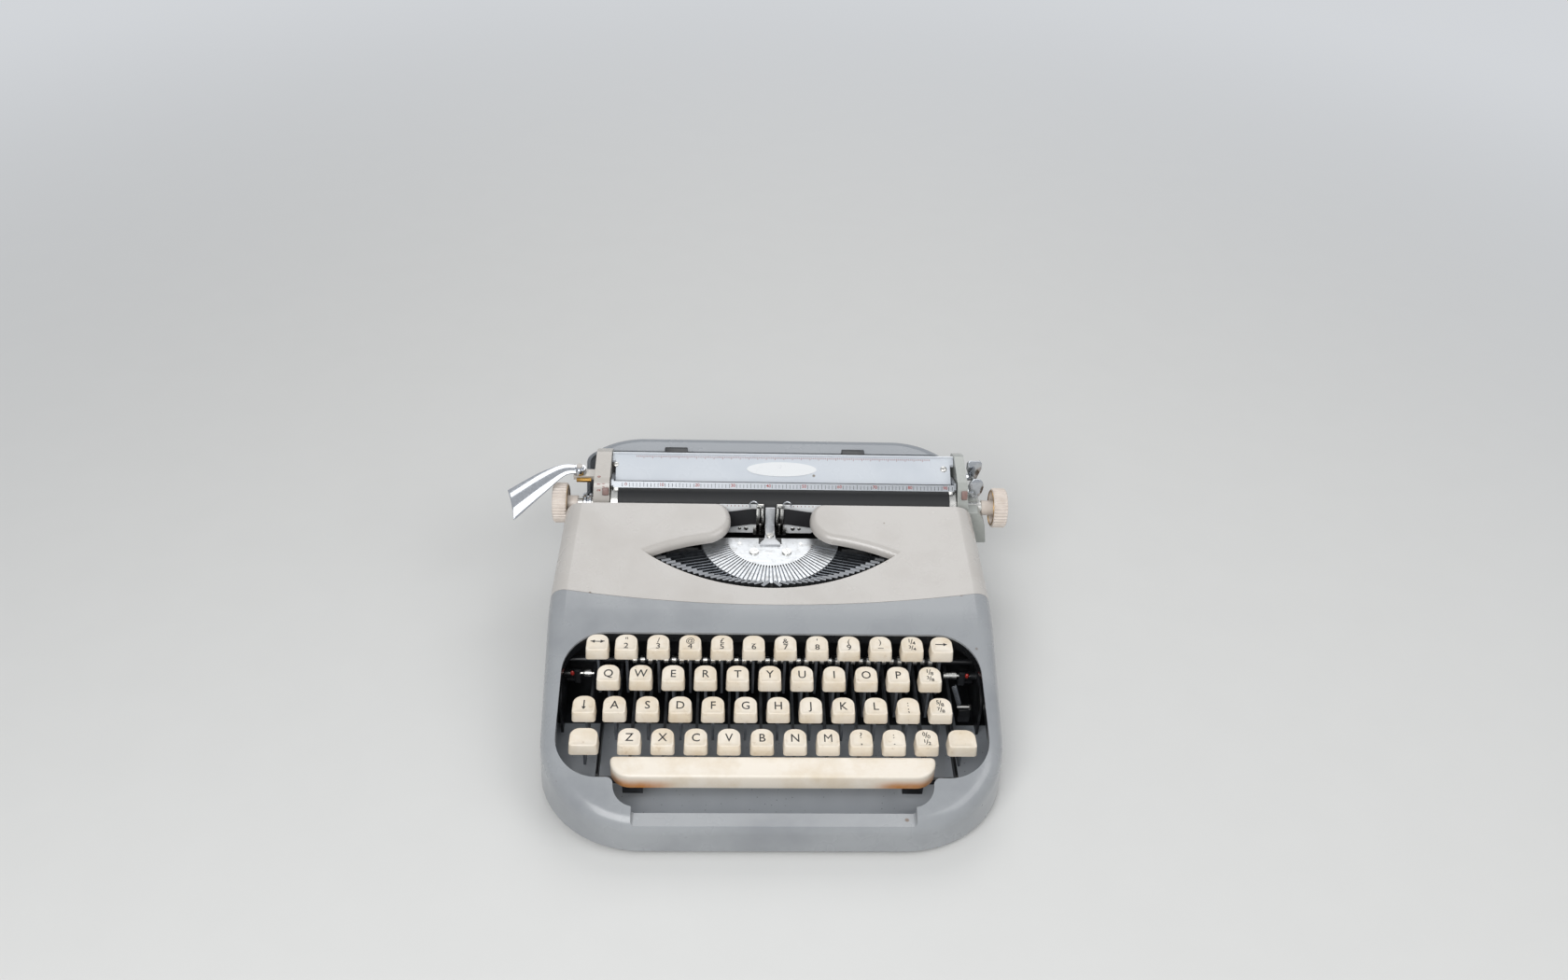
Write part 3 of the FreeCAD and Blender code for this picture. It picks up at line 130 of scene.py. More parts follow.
# Japanned steel: baked black varnish, glossy where it lies thick, greyer where it is rubbed.
japan, tree, place = new_material("japanned_steel", Metallic=0.0, IOR=1.5)
rub = node(tree, "TexNoise", {"Vector": place, "Scale": 90.0, "Detail": 5.0})
worn = node(tree, "MapRange", {"Value": rub, "From": (0.5, 0.75)})
black = node(tree, "Mix", {0: worn, 6: japan_black, 7: japan_worn})
grit = node(tree, "TexVoronoi", {"Vector": place, "Scale": 300.0})
fleck = node(tree, "MapRange", {"Value": grit, "From": (0.06, 0.12), "To": (1.0, 0.0)})
sprayed = node(tree, "Mix", {0: fleck, 6: pan_grey, 7: pan_fleck})
axes = node(tree, "SeparateXYZ", {"Vector": place})
ahead = node(tree, "MapRange", {
    "Value": axes.outputs["Y"], "From": (pan_rear_y - 0.0005, pan_rear_y), "To": (1.0, 0.0)})
low_down = node(tree, "MapRange", {
    "Value": axes.outputs["Z"], "From": (pan_top_z - 0.0003, pan_top_z), "To": (1.0, 0.0)})
on_pan = node(tree, "Math", {0: ahead, 1: low_down}, operation="MULTIPLY")
dress(tree, (on_pan, black, sprayed), (rub, 0.22, 0.5), (rub, 0.2, 0.0003))
finish_node("chassis", japan)

# ---- Housing, hood and ribbon cover
# Drawn steel shells: the housing is stove-enamelled blue-grey and the loose cover
# over the ribbon a warm light grey. The enamel is sprayed thick over a primer.
housing_grey = "#9a9da0"
housing_shade = "#8b8e92"
hood_grey = "#8b9096"
cover_grey = "#c3bfba"
cover_shade = "#b9b4ae"
enamel_rust = "#6b5848"
hood_front_y = 0.072  # from here to the rim's level, in metres
well_half_width = 0.1258
well_rear_y = -0.0322
well_front_y = -0.1
rim_slope = 0.276
rim_level = 0.0669  # height of the rim's sloping plane where y is nothing


def enamel(name, colour, shade, rust, specks):
    """Stove enamel: smooth and semi-gloss, with orange peel, dust and a few rusty pin holes."""
    material, tree, place = new_material(name, IOR=1.5, Coat_Weight=0.35, Coat_Roughness=0.15)
    cloud = node(tree, "TexNoise", {"Vector": place, "Scale": 22.0, "Detail": 4.0, "Roughness": 0.6})
    patch = node(tree, "MapRange", {"Value": cloud, "From": (0.42, 0.72)})
    base = node(tree, "Mix", {0: patch, 6: colour, 7: shade})
    cells = node(tree, "TexVoronoi", {"Vector": place, "Scale": specks})
    spot = node(tree, "MapRange", {"Value": cells, "From": (0.035, 0.07), "To": (1.0, 0.0)})
    lot = node(tree, "SeparateXYZ", {"Vector": cells.outputs["Color"]})
    chosen = node(tree, "Math", {0: lot, 1: 0.55}, operation="GREATER_THAN")
    pits = node(tree, "Math", {0: spot, 1: chosen}, operation="MULTIPLY")
    peel = node(tree, "TexNoise", {"Vector": place, "Scale": 650.0, "Detail": 2.0})
    dress(tree, (pits, base, rust), (cloud, 0.2, 0.36), (peel, 0.1, 0.0001))
    return material


# The hood behind the carriage is a paler blue grey; the inner walls of the well round the keys are painted
# black as painted shade.
stove_grey = enamel("stove_enamel_blue_grey", housing_grey, housing_shade, enamel_rust, 45.0)
tree = stove_grey.node_tree
sprayed = tree.nodes["Principled BSDF"].inputs["Base Color"].links[0].from_socket
axes = node(tree, "SeparateXYZ", {"Vector": node(tree, "TexCoord", {}).outputs["Object"]})
behind = node(tree, "MapRange", {"Value": axes.outputs["Y"], "From": (hood_front_y, hood_front_y + 0.001)})
tinted = node(tree, "Mix", {0: behind, 6: sprayed, 7: hood_grey})
height = node(tree, "Math", {
    0: axes.outputs["Y"], 1: -rim_slope, 2: axes.outputs["Z"]}, operation="MULTIPLY_ADD")
# Painted shade: inside the key well, below its rim, the enamel turns black.
well_wall_shade = node(tree, "Math", {0: from_middle(tree, axes), 1: well_half_width}, operation="LESS_THAN")
for limit in (
        node(tree, "Math", {0: axes.outputs["Y"], 1: well_rear_y}, operation="LESS_THAN"),
        node(tree, "MapRange", {"Value": axes.outputs["Y"], "From": (well_front_y, well_front_y + 0.01)}),
        node(tree, "MapRange", {
            "Value": height, "From": (rim_level - 0.0016, rim_level - 0.0011), "To": (1.0, 0.0)})):
    well_wall_shade = node(tree, "Math", {0: well_wall_shade, 1: limit}, operation="MULTIPLY")
dress(tree, (well_wall_shade, tinted, japan_black))
finish_node("lower_housing", stove_grey)
finish_node("top_cover", enamel("stove_enamel_warm_grey", cover_grey, cover_shade, enamel_rust, 60.0))

# ---- Keys
# Cream keytops moulded in a hard cast resin, arched at the back and hollowed for the
# finger, each pressed on the riser of a flat blackened lever. Legends are printed black.
keytop_width = 13.0
keytop_depth = 13.6
keytop_height = 7.4
keytop_rear_radius = 5.6
keytop_front_radius = 1.8
keytop_rim_radius = 0.55
keytop_skirt = 1.07  # the foot is wider than the face by this
keytop_hollow = [(0.95, 0.0), (0.94, 0.14), (0.88, 0.2), (0.8, 0.17), (0.66, 0.12), (0.45, 0.05)]
print_height = 0.06  # the lettering stands this far off the face
letter_height = 5.9
figure_height = 4.7
sign_height = 3.8
capital_share = 0.69  # a capital's height as a share of the font's size
arrow_length = 7.4
double_arrow_length = 8.4
arrow_head = 2.5
lever_widest = 2.0  # solids thinner than this are levers, not keytops
key_cream = "#eae0d0"
key_aged = "#dccbb0"
key_grime = "#9c7f5c"
legends = {
    "key_2": "2\"", "key_3": "3/", "key_4": "4@", "key_5": "5£", "key_6": "6_", "key_7": "7&", "key_8": "8'",
    "key_9": "9(", "key_dash": "–)", "key_semicolon": ";:", "key_comma": ",?", "key_period": ".:",
}
fractions = {
    "key_quarters": ("14", "34"), "key_eighths_low": ("18", "38"), "key_eighths_high": ("58", "78"),
    "key_percent": ("00", "12"),
}
figure_weight = 0.05  # added round each stroke
sign_weight = 0.03
letter_weight = 0.06
fine_forms = "4@M"  # printed without extra weight, so that they stay open


def add_object(name, data):
    """An object in the scene."""
    made = bpy.data.objects.new(name, data)
    bpy.context.collection.objects.link(made)
    return made


def piece(name, bm, material, body, node_name=None, sharp=35):
    """Makes a bmesh drawn in millimetres into a piece that moves with a CAD body."""
    bmesh.ops.scale(bm, vec=(mm, mm, mm), verts=bm.verts)
    mesh = bpy.data.meshes.new(name)
    bm.to_mesh(mesh)
    bm.free()
    mesh.shade_smooth()
    mesh.set_sharp_from_angle(angle=math.radians(sharp))
    mesh.materials.append(material)
    made = add_object(name, mesh)
    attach(made, body)
    if node_name:
        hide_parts(node_name)
    return made


def rounded(bm, edges, radius, segments):
    """Rounds these edges."""
    bmesh.ops.bevel(
        bm, geom=edges, offset=radius, segments=segments, profile=0.5, affect="EDGES", material=-1)


def brick(bm, x, y, z, soft=0.0, segments=2):
    """Adds a block between three pairs of limits, its edges rounded by soft."""
    made = bmesh.ops.create_cube(bm, size=1.0)["verts"]
    bmesh.ops.scale(bm, vec=(x[1] - x[0], y[1] - y[0], z[1] - z[0]), verts=made)
    middle = Vector((x[0] + x[1], y[0] + y[1], z[0] + z[1])) / 2
    bmesh.ops.translate(bm, vec=middle, verts=made)
    if soft:
        rounded(bm, list({edge for vert in made for edge in vert.link_edges}), soft, segments)


def flat(bm, corners):
    """Adds one flat face."""
    bm.faces.new([bm.verts.new(corner) for corner in corners])


def stroke(bm, x, y):
    """Adds a flat rectangle between two pairs of limits."""
    flat(bm, [(x[0], y[0], 0), (x[1], y[0], 0), (x[1], y[1], 0), (x[0], y[1], 0)])


def move(bm, place):
    """Moves a whole bmesh, to a place or by a matrix."""
    matrix = place if isinstance(place, Matrix) else Matrix.Translation(place)
    bmesh.ops.transform(bm, matrix=matrix, verts=bm.verts)


def face_out(bm):
    """Turns the faces of a closed shape outwards."""
    bmesh.ops.recalc_face_normals(bm, faces=bm.faces)


def drawn(draw, *values):
    """A new mesh with one thing drawn in it."""
    bm = bmesh.new()
    draw(bm, *values)
    return bm


def join(bm, other, place):
    """Adds another bmesh, moved to a place or by a matrix, and frees it."""
    move(other, place)
    mesh = bpy.data.meshes.new("part")
    other.to_mesh(mesh)
    other.free()
    bm.from_mesh(mesh)
    bpy.data.meshes.remove(mesh)


def box_mm(name):
    """A CAD node's two corners, in millimetres."""
    return [Vector(corner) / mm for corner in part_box(name)]


def islands(bm):
    """The separate solids in a mesh, as lists of vertices."""
    left = set(bm.verts)
    found = []
    while left:
        solid = [left.pop()]
        for vert in solid:  # the list grows as it is walked
            near = {edge.other_vert(vert) for edge in vert.link_edges} & left
            left -= near
            solid.extend(near)
        found.append(solid)
    return found


def cad_solids(node_name, wanted):
    """A merged copy, in millimetres, of those solids of a CAD node that wanted accepts."""
    bm = bmesh.new()
    bm.from_mesh(frame["nodes"][node_name].data)
    bmesh.ops.remove_doubles(bm, verts=bm.verts, dist=1e-6)
    bmesh.ops.scale(bm, vec=(1 / mm, 1 / mm, 1 / mm), verts=bm.verts)
    for solid in islands(bm):
        low = Vector([min(vert.co[i] for vert in solid) for i in range(3)])
        high = Vector([max(vert.co[i] for vert in solid) for i in range(3)])
        if not wanted(low, high):
            bmesh.ops.delete(bm, geom=solid, context="VERTS")
    bmesh.ops.dissolve_limit(bm, angle_limit=math.radians(1), verts=bm.verts, edges=bm.edges)
    return bm


def corner_edges(bm, width, y):
    """The upright edges at a block's two corners on the line y."""
    return [
        edge for edge in bm.edges
        if abs(edge.verts[0].co.z - edge.verts[1].co.z) > 1
        and abs(edge.verts[0].co.y - y) < 0.1
        and abs(edge.verts[0].co.x) > width / 2 - 0.1]


def top_edges(bm):
    """The edges of a block's upper face, which lies at height nothing."""
    return [edge for edge in bm.edges if min(vert.co.z for vert in edge.verts) > -0.01]


def keytop(width):
    """A keytop with the middle of its face at the origin, in millimetres."""
    half = keytop_depth / 2
    bm = drawn(brick, (-width / 2, width / 2), (-half, half), (-keytop_height, 0))
    rounded(bm, corner_edges(bm, width, half), keytop_rear_radius, 10)
    rounded(bm, corner_edges(bm, width, -half), keytop_front_radius, 4)
    foot = [vert for vert in bm.verts if vert.co.z < -1]
    bmesh.ops.scale(bm, vec=(keytop_skirt, keytop_skirt, 1), verts=foot)
    rounded(bm, top_edges(bm), keytop_rim_radius, 3)
    bm.normal_update()
    face = max(bm.faces, key=lambda f: f.normal.z * f.calc_area())
    for share, drop in keytop_hollow:
        bmesh.ops.inset_region(bm, faces=[face], thickness=0.02)
        bmesh.ops.scale(bm, vec=(share, share, 1), verts=face.verts)
        bmesh.ops.translate(bm, vec=(0, 0, -drop), verts=face.verts)
    return bm


def print_on(mark, top):
    """Lays flat lettering down on a keytop's hollow face."""
    for longest in (1.6, 0.8):
        long_edges = [edge for edge in mark.edges if edge.calc_length() > longest]
        bmesh.ops.subdivide_edges(mark, edges=long_edges, cuts=1)
        bmesh.ops.triangulate(mark, faces=mark.faces[:])
    surface = BVHTree.FromBMesh(top)
    for vert in mark.verts:
        found = surface.ray_cast(Vector((vert.co.x, vert.co.y, 5)), Vector((0, 0, -1)))[0]
        vert.co.z = (found.z if found else 0.0) + print_height


def lettering(text, height, font_width=1.0, weight=0.0):
    """Flat lettering round the origin, as a mesh in millimetres, capitals this high."""
    curve = bpy.data.curves.new("lettering", "FONT")
    curve.body = text
    curve.align_x = "CENTER"
    curve.align_y = "CENTER"
    curve.size = height / capital_share
    curve.offset = weight
    curve.resolution_u = 3
    holder = add_object("lettering", curve)
    mesh = bpy.data.meshes.new_from_object(holder)
    bpy.data.objects.remove(holder)
    bm = bmesh.new()
    bm.from_mesh(mesh)
    bpy.data.meshes.remove(mesh)
    bmesh.ops.scale(bm, vec=(font_width, 1, 1), verts=bm.verts)
    return bm


def key_text(text, height, font_width, weight):
    """Lettering for a whole key, left thin where extra weight would close it up."""
    return lettering(text, height, font_width, 0.0 if text in fine_forms else weight)


def arrow(length, direction):
    """A printed arrow: a thin shaft with a filled head; direction is in degrees."""
    bm = bmesh.new()
    end = length / 2
    neck = end - arrow_head
    stroke(bm, (-end, neck), (-0.36, 0.36))
    flat(bm, [(neck, -1.3, 0), (end, 0, 0), (neck, 1.3, 0)])
    move(bm, Matrix.Rotation(math.radians(direction), 4, "Z"))
    return bm


def fraction(over, under):
    """A printed fraction: small figures above and below a slanting stroke."""
    bm = bmesh.new()
    join(bm, lettering(over, 2.6, 1.0, 0.06), (-1.35, 0.95, 0))
    join(bm, lettering("/", 3.9, 1.0, 0.05), (0, 0.1, 0))
    join(bm, lettering(under, 2.6, 1.0, 0.06), (1.35, -0.95, 0))
    return bm


def clouded(name, noise, colours, gloss=None, **values):
    """A material whose colour, and gloss if given, drifts between two ends in soft clouds."""
    material, tree, place = new_material(name, **values)
    cloud = node(tree, "TexNoise", {"Vector": place, **noise})
    dress(tree, (cloud, *colours), gloss and (cloud, *gloss))
    return material


# Cast resin: hard cream plastic, satin from use, yellowed in clouds and grimy in specks.
cream, tree, place = new_material("cream_cast_resin", IOR=1.54, Coat_Weight=0.2, Coat_Roughness=0.2)
cloud = node(tree, "TexNoise", {"Vector": place, "Scale": 60.0, "Detail": 5.0, "Roughness": 0.65})
aged = node(tree, "MapRange", {"Value": cloud, "From": (0.4, 0.75)})
tone = node(tree, "Mix", {0: aged, 6: key_cream, 7: key_aged})
dirt = node(tree, "TexNoise", {"Vector": place, "Scale": 240.0, "Detail": 6.0, "Roughness": 0.7})
stain = node(tree, "MapRange", {"Value": dirt, "From": (0.6, 0.8), "To Max": 0.5})
dress(tree, (stain, tone, key_grime), (cloud, 0.28, 0.5), (dirt, 0.15, 0.0001))

# Printing ink: matt black, a little grey where it is thin.
ink = clouded("black_printing_ink", {"Scale": 900.0, "Detail": 3.0}, ("#141312", "#2b2826"), Roughness=0.6)

# Blackened lever steel: chemically blacked strip, dark, with lighter blue-grey clouds that are painted
# highlights.
blacked = clouded("blacked_strip_steel", {"Scale": 130.0, "Detail": 5.0}, ("#3b3f45", "#a0a5ac"),
                  (0.3, 0.55), Metallic=0.6)


def add_keytop(name, middle, width, body, legend=None, node_name=None):
    """A keytop, and what is printed on it, with the middle of its face at a place."""
    top = keytop(width)
    if legend:
        print_on(legend, top)
        move(legend, middle)
        piece(name + "_legend", legend, ink, body)
    move(top, middle)
    piece(name + "_top", top, cream, body, node_name)


def make_key(node_name, body, legend):
    """Lever, keytop and legend of one key, standing where the CAD key stands."""
    low, high = box_mm(node_name)
    middle = Vector(((low.x + high.x) / 2, low.y + keytop_depth / 2, high.z))
    lever = cad_solids(node_name, lambda low, high: high.x - low.x < lever_widest)
    piece(node_name + "_lever", lever, blacked, body)
    add_keytop(node_name, middle, keytop_width, body, legend, node_name)


for name in sorted(body for body in record["behaviour"]["bodies"] if body.startswith("key_")):
    mark = bmesh.new()
    if name in fractions:
        upper, lower = fractions[name]
        join(mark, fraction(*upper), (0, 2.5, 0))
        join(mark, fraction(*lower), (0, -2.7, 0))
    elif name in legends:
        lower, upper = legends[name]
        join(mark, key_text(lower, figure_height, 0.9, figure_weight), (0, -2.7, 0))
        join(mark, key_text(upper, sign_height, 1.0, sign_weight), (0, 2.2, 0))
    else:
        join(mark, key_text(name[-1].upper(), letter_height, 0.86, letter_weight), (0, -0.1, 0))
    make_key(name, name, mark)
both_ways = bmesh.new()
for direction in (0, 180):
    join(both_ways, arrow(double_arrow_length, direction), (0, 1.1, 0))
make_key("margin_release_key", "margin_release", both_ways)
rightward = bmesh.new()
join(rightward, arrow(arrow_length, 0), (0, 0.7, 0))
make_key("backspace_key", "backspace", rightward)

# ---- Shift keys, shift lock and space bar
# The two shift levers are tied by a round bar and carry larger blank keytops. The space
# bar is one long hollow moulding in the same cream resin, screwed to a black steel rail.
shift_width = 16.0
lock_inset = 6.85  # from the left shift key's edge to the middle of the lock key
row_step_y = 19.05
row_step_z = 6.6
steel_below = 24.0  # solids that end below this height are steel, not resin
bar_width = 186.0
bar_depth = 15.1
bar_height = 10.0
bar_front_radius = 12.0
bar_rear_radius = 2.5
bar_rim_radius = 1.8
bar_wall = 2.0
bar_roof = 2.5
bar_screw_x = 0.078  # from the middle of the machine, in metres
bar_cream = "#efe6d8"
stain_orange = "#c67c26"


def is_steel_work(low, high):
    """A lever or rail: thin, or lying below the keytops."""
    return high.x - low.x < lever_widest or high.z < steel_below


shift_low, shift_high = box_mm("shift_keys")
lower_row = Vector((0, shift_low.y + keytop_depth / 2, shift_high.z - row_step_z))
piece("shift_levers", cad_solids("shift_keys", is_steel_work), blacked, "shift")
for name, x in (
        ("left_shift", shift_low.x + shift_width / 2), ("right_shift", shift_high.x - shift_width / 2)):
    add_keytop(name, lower_row + Vector((x, 0, 0)), shift_width, "shift", node_name="shift_keys")
lock_place = lower_row + Vector((shift_low.x + lock_inset, row_step_y, row_step_z))
add_keytop("shift_lock", lock_place, keytop_width, "shift", arrow(arrow_length, -90))

bar_low, bar_high = box_mm("space_bar")
bm = drawn(brick, (-bar_width / 2, bar_width / 2), (0, bar_depth), (-bar_height, 0))
rounded(bm, corner_edges(bm, bar_width, 0), bar_front_radius, 14)
rounded(bm, corner_edges(bm, bar_width, bar_depth), bar_rear_radius, 4)
rounded(bm, top_edges(bm), bar_rim_radius, 5)
bm.normal_update()
under = min(bm.faces, key=lambda f: f.normal.z * f.calc_area())
bmesh.ops.inset_region(bm, faces=[under], thickness=bar_wall)
bmesh.ops.translate(bm, vec=(0, 0, bar_height - bar_roof), verts=under.verts)
move(bm, (body_x, bar_low.y, bar_high.z))

# Cast resin again, with the orange-brown rust stains that the screws beneath have bled.
stained, tree, place = new_material(
    "rust_stained_cast_resin", IOR=1.54, Coat_Weight=0.2, Coat_Roughness=0.2)
cloud = node(tree, "TexNoise", {"Vector": place, "Scale": 45.0, "Detail": 5.0, "Roughness": 0.6})
aged = node(tree, "MapRange", {"Value": cloud, "From": (0.45, 0.8)})
axes = node(tree, "SeparateXYZ", {"Vector": place})
rusty = node(tree, "MapRange", {"Value": cloud, "From": (0.3, 0.5), "To Min": 0.7})
to_screw = node(tree, "Math", {0: from_middle(tree, axes), 1: bar_screw_x}, operation="SUBTRACT")
near_screw = node(tree, "MapRange", {
    "Value": node(tree, "Math", {0: to_screw}, operation="ABSOLUTE"),
    "From": (0.005, 0.026), "To": (1.0, 0.0)}, interpolation_type="SMOOTHSTEP")
low_down = node(tree, "MapRange", {
    "Value": axes.outputs["Z"], "From": (0.0242, 0.0315), "To": (1.0, 0.0)}, interpolation_type="SMOOTHSTEP")
for limit in (near_screw, low_down):
    rusty = node(tree, "Math", {0: rusty, 1: limit}, operation="MULTIPLY")
tone = node(tree, "Mix", {0: aged, 6: bar_cream, 7: key_aged})
dress(tree, (rusty, tone, stain_orange), (cloud, 0.3, 0.5))
piece("space_bar_top", bm, stained, "space_bar", "space_bar")
piece("space_bar_rail", cad_solids("space_bar", is_steel_work), japan, "space_bar")

# ---- Rod collars, cone nuts and return spring beside the keys
# Turned nickel-plated steel collars slide on the rod behind the number row. At each side
# a cone nut locks a pivot pin, marked with a dab of red sealing lacquer, and one spring shows.
rod_y = -34.5
rod_z = 36.5
collar_pitch = 4.7625
collar_half = 1.5
collar_radius = 3.3
thin_collar_radius = 2.5
chamfer = 0.3
pivot_y = -46.8
pivot_z = 36.8
locking_nut = [(0.6, 0.0), (0.6, 1.1), (1.8, 0.9), (1.8, 0.0)]
left_pin = [
    (2.4, 0.0), (2.4, 0.9), (6.4, 0.9), (6.4, 1.7), (8.0, 2.3), (11.4, 2.3), (11.4, 1.3), (13.0, 1.2),
    (13.0, 0.0)]
right_pin = [
    (2.4, 0.0), (2.4, 0.9), (6.6, 0.9), (6.6, 2.3), (9.6, 2.3), (9.6, 2.0), (14.4, 2.0), (14.4, 0.0)]
coil_top = Vector((115.4, -57.0, 38.0))
coil_foot = Vector((119.4, -61.0, 26.4))
coil_turns = 14
coil_steps = 12  # straight bits of wire in one turn
coil_radius = 1.3
wire_radius = 0.32
stud_profile = [(-3.5, 0.0), (-3.5, 1.0), (3.5, 1.0), (3.5, 1.9), (4.6, 1.7), (4.6, 0.0)]
lacquer_red = "#b32a22"

# Nickel plate on steel: a warm, slightly soft shine with fine wipe marks.
nickel = clouded("nickel_plated_steel", {"Scale": 300.0, "Detail": 4.0}, ("#b9b8b4", "#dcdad5"),
                 (0.16, 0.38), Metallic=1.0)

# Sealing lacquer: a thick glossy red drop.
lacquer = clouded("red_sealing_lacquer", {"Scale": 700.0, "Detail": 2.0}, (lacquer_red, "#8d1d18"),
                  IOR=1.5, Coat_Weight=0.6)


def turned(bm, profile, centre, steps=32, side=1):
    """Adds a piece turned about an axis along X; profile is (distance along, radius) pairs."""
    verts = [bm.verts.new((centre[0] + side * x, centre[1], centre[2] + radius)) for x, radius in profile]
    edges = [bm.edges.new(pair) for pair in zip(verts, verts[1:])]
    bmesh.ops.spin(
        bm, geom=verts + edges, cent=centre, axis=(1, 0, 0), angle=math.tau, steps=steps, use_merge=True)
    bmesh.ops.remove_doubles(bm, verts=bm.verts, dist=1e-4)
    face_out(bm)


def sleeve(half, radius, bore):
    """The profile of a tube with small chamfers."""
    return [(-half, bore), (-half, radius - chamfer), (chamfer - half, radius),
            (half - chamfer, radius), (half, radius - chamfer), (half, bore)]


def span(middle, side, near, far):
    """Limits along X of something that lies between two distances to one side."""
    return sorted((middle + side * near, middle + side * far))


def squashed_ball(radius, squash, rings=12, segments=20):
    """A ball squashed by a share in each direction, as a mesh round the origin."""
    bm = bmesh.new()
    bmesh.ops.create_uvsphere(bm, u_segments=segments, v_segments=rings, radius=radius)
    bmesh.ops.scale(bm, vec=squash, verts=bm.verts)
    return bm


bm = bmesh.new()
for i in range(-18, 21):
    radius = collar_radius if i % 4 == 0 else thin_collar_radius
    turned(bm, sleeve(collar_half, radius, 2.0), (body_x + (i + 0.5) * collar_pitch, rod_y, rod_z), 20)
piece("rod_collars", bm, nickel, "root")
for name, side, x, pin in (("left", -1, -114.4, left_pin), ("right", 1, 124.6, right_pin)):
    bm = bmesh.new()
    turned(bm, pin, (x, pivot_y, pivot_z), side=-side)
    turned(bm, locking_nut, (x, pivot_y, pivot_z), side=side)
    piece(name + "_cone_nut", bm, nickel, "root")
    bm = bmesh.new()
    brick(bm, span(x, side, -0.9, -4.9), (pivot_y - 0.9, pivot_y + 0.9), (29.0, 39.2), 0.5)
    brick(bm, span(x, side, 4.5, -4.9), (pivot_y + 0.9, -40.0), (29.0, 31.0), 0.5)
    piece(name + "_pivot_bracket", bm, japan, "root")
    bm = squashed_ball(1.5, (0.8, 0.7, 1.2))
    move(bm, (x, pivot_y - 1.0, pivot_z + 0.8))
    piece(name + "_lacquer_drop", bm, lacquer, "root")

# The return spring: a close coil of spring steel hooked to a stud on a black link.
bm = bmesh.new()
wire = bmesh.ops.create_circle(bm, segments=6, radius=wire_radius)["verts"]
bmesh.ops.rotate(bm, matrix=Matrix.Rotation(math.radians(90), 3, "X"), verts=wire)
bmesh.ops.translate(bm, vec=(coil_radius, 0, 0), verts=wire)
rise = (coil_foot - coil_top).length / (coil_turns * coil_steps)
bmesh.ops.spin(
    bm, geom=wire + bm.edges[:], cent=(0, 0, 0), axis=(0, 0, 1), angle=math.tau * coil_turns,
    dvec=(0, 0, rise), steps=coil_turns * coil_steps)
face_out(bm)
way = (coil_foot - coil_top).to_track_quat("Z", "Y").to_matrix().to_4x4()
move(bm, Matrix.Translation(coil_top) @ way)
piece("return_spring", bm, blacked, "root")
stud = drawn(turned, stud_profile, (121.6, -62.0, 25.4), 24)
piece("spring_stud", stud, nickel, "root")
link = drawn(brick, (119.0, 126.4), (-64.0, -61.0), (14.0, 24.0), 0.8)
piece("spring_link", link, japan, "root")

# ---- Type basket
# The half ring is a milled steel casting with a slot for each typebar, held by two slotted
# screws. The typebars are blanked steel, blued dark, with a bright cast type slug at the tip.
segment_top = 60.0
screws = [(-10.6, 40.7, 20), (10.6, 40.7, -70)]  # places, and how far each slot is turned
screw_radius = 3.1
dowels = [(-19.8, 49.5), (19.8, 49.5)]
dowel_radius = 1.1
typebar_top = 59.5

# Milled steel: bright, with fine straight tool marks and small dull stains.
milled, tree, place = new_material("milled_steel", Metallic=0.9)
stretch = node(tree, "Mapping", {"Vector": place, "Scale": (60.0, 1400.0, 60.0)})
marks = node(tree, "TexNoise", {"Vector": stretch, "Scale": 1.0, "Detail": 3.0})
blot = node(tree, "TexNoise", {"Vector": place, "Scale": 220.0, "Detail": 6.0, "Roughness": 0.7})
dull = node(tree, "MapRange", {"Value": blot, "From": (0.5, 0.72)})
dress(tree, (dull, "#c8cacc", "#a3a2a0"), (marks, 0.28, 0.55), (marks, 0.15, 0.0001))
finish_node("typebar_segment", milled)
finish_node("carriage_truck", milled)

# Blued typebars: dark and oily, with lighter clouds that are painted highlights, and bare metal on the
# raised type.
blued, tree, place = new_material("blued_typebar_steel", Metallic=0.85)
oil_film_and_highlights = node(tree, "TexNoise", {"Vector": place, "Scale": 260.0, "Detail": 4.0})
# Painted highlight: the lighter end of this mix stands in for the bars' bright edges.
dark = node(tree, "Mix", {0: oil_film_and_highlights, 6: "#2a2d31", 7: "#8b9097"})
raised = node(tree, "MapRange", {
    "Value": node(tree, "SeparateXYZ", {"Vector": place}).outputs["Z"],
    "From": (typebar_top * mm, (typebar_top + 0.2) * mm)})
dress(tree, (raised, dark, "#6c6e71"), (oil_film_and_highlights, 0.2, 0.4))
finish_node("typebars", blued)


def disc(bm, centre, low_radius, top_radius, height, segments=32):
    """Adds an upright disc, standing on the middle of its lower face."""
    made = bmesh.ops.create_cone(
        bm, cap_ends=True, segments=segments, radius1=low_radius, radius2=top_radius, depth=height)["verts"]
    bmesh.ops.translate(bm, vec=centre + Vector((0, 0, height / 2)), verts=made)


def slotted_head(bm, centre, radius, height, slot, turn):
    """Adds a cheese-head screw: a disc with two raised halves either side of its slot."""
    disc(bm, centre, radius, radius, height / 2)
    for side in (-1, 1):
        half = drawn(disc, Vector(), radius, radius - 0.3, height / 2)
        bmesh.ops.bisect_plane(
            half, geom=half.verts[:] + half.edges[:] + half.faces[:], plane_co=(0, side * slot / 2, 0),
            plane_no=(0, -side, 0), clear_outer=True)
        bmesh.ops.holes_fill(half, edges=half.edges)
        place = Matrix.Translation(centre + Vector((0, 0, height / 2)))
        join(bm, half, place @ Matrix.Rotation(math.radians(turn), 4, "Z"))


bm = bmesh.new()
for x, y, turn in screws:
    slotted_head(bm, Vector((body_x + x, y, segment_top)), screw_radius, 1.1, 0.7, turn)
for x, y in dowels:
    disc(bm, Vector((body_x + x, y, segment_top - 0.15)), dowel_radius, dowel_radius, 0.3, 20)
piece("segment_screws", bm, nickel, "root")

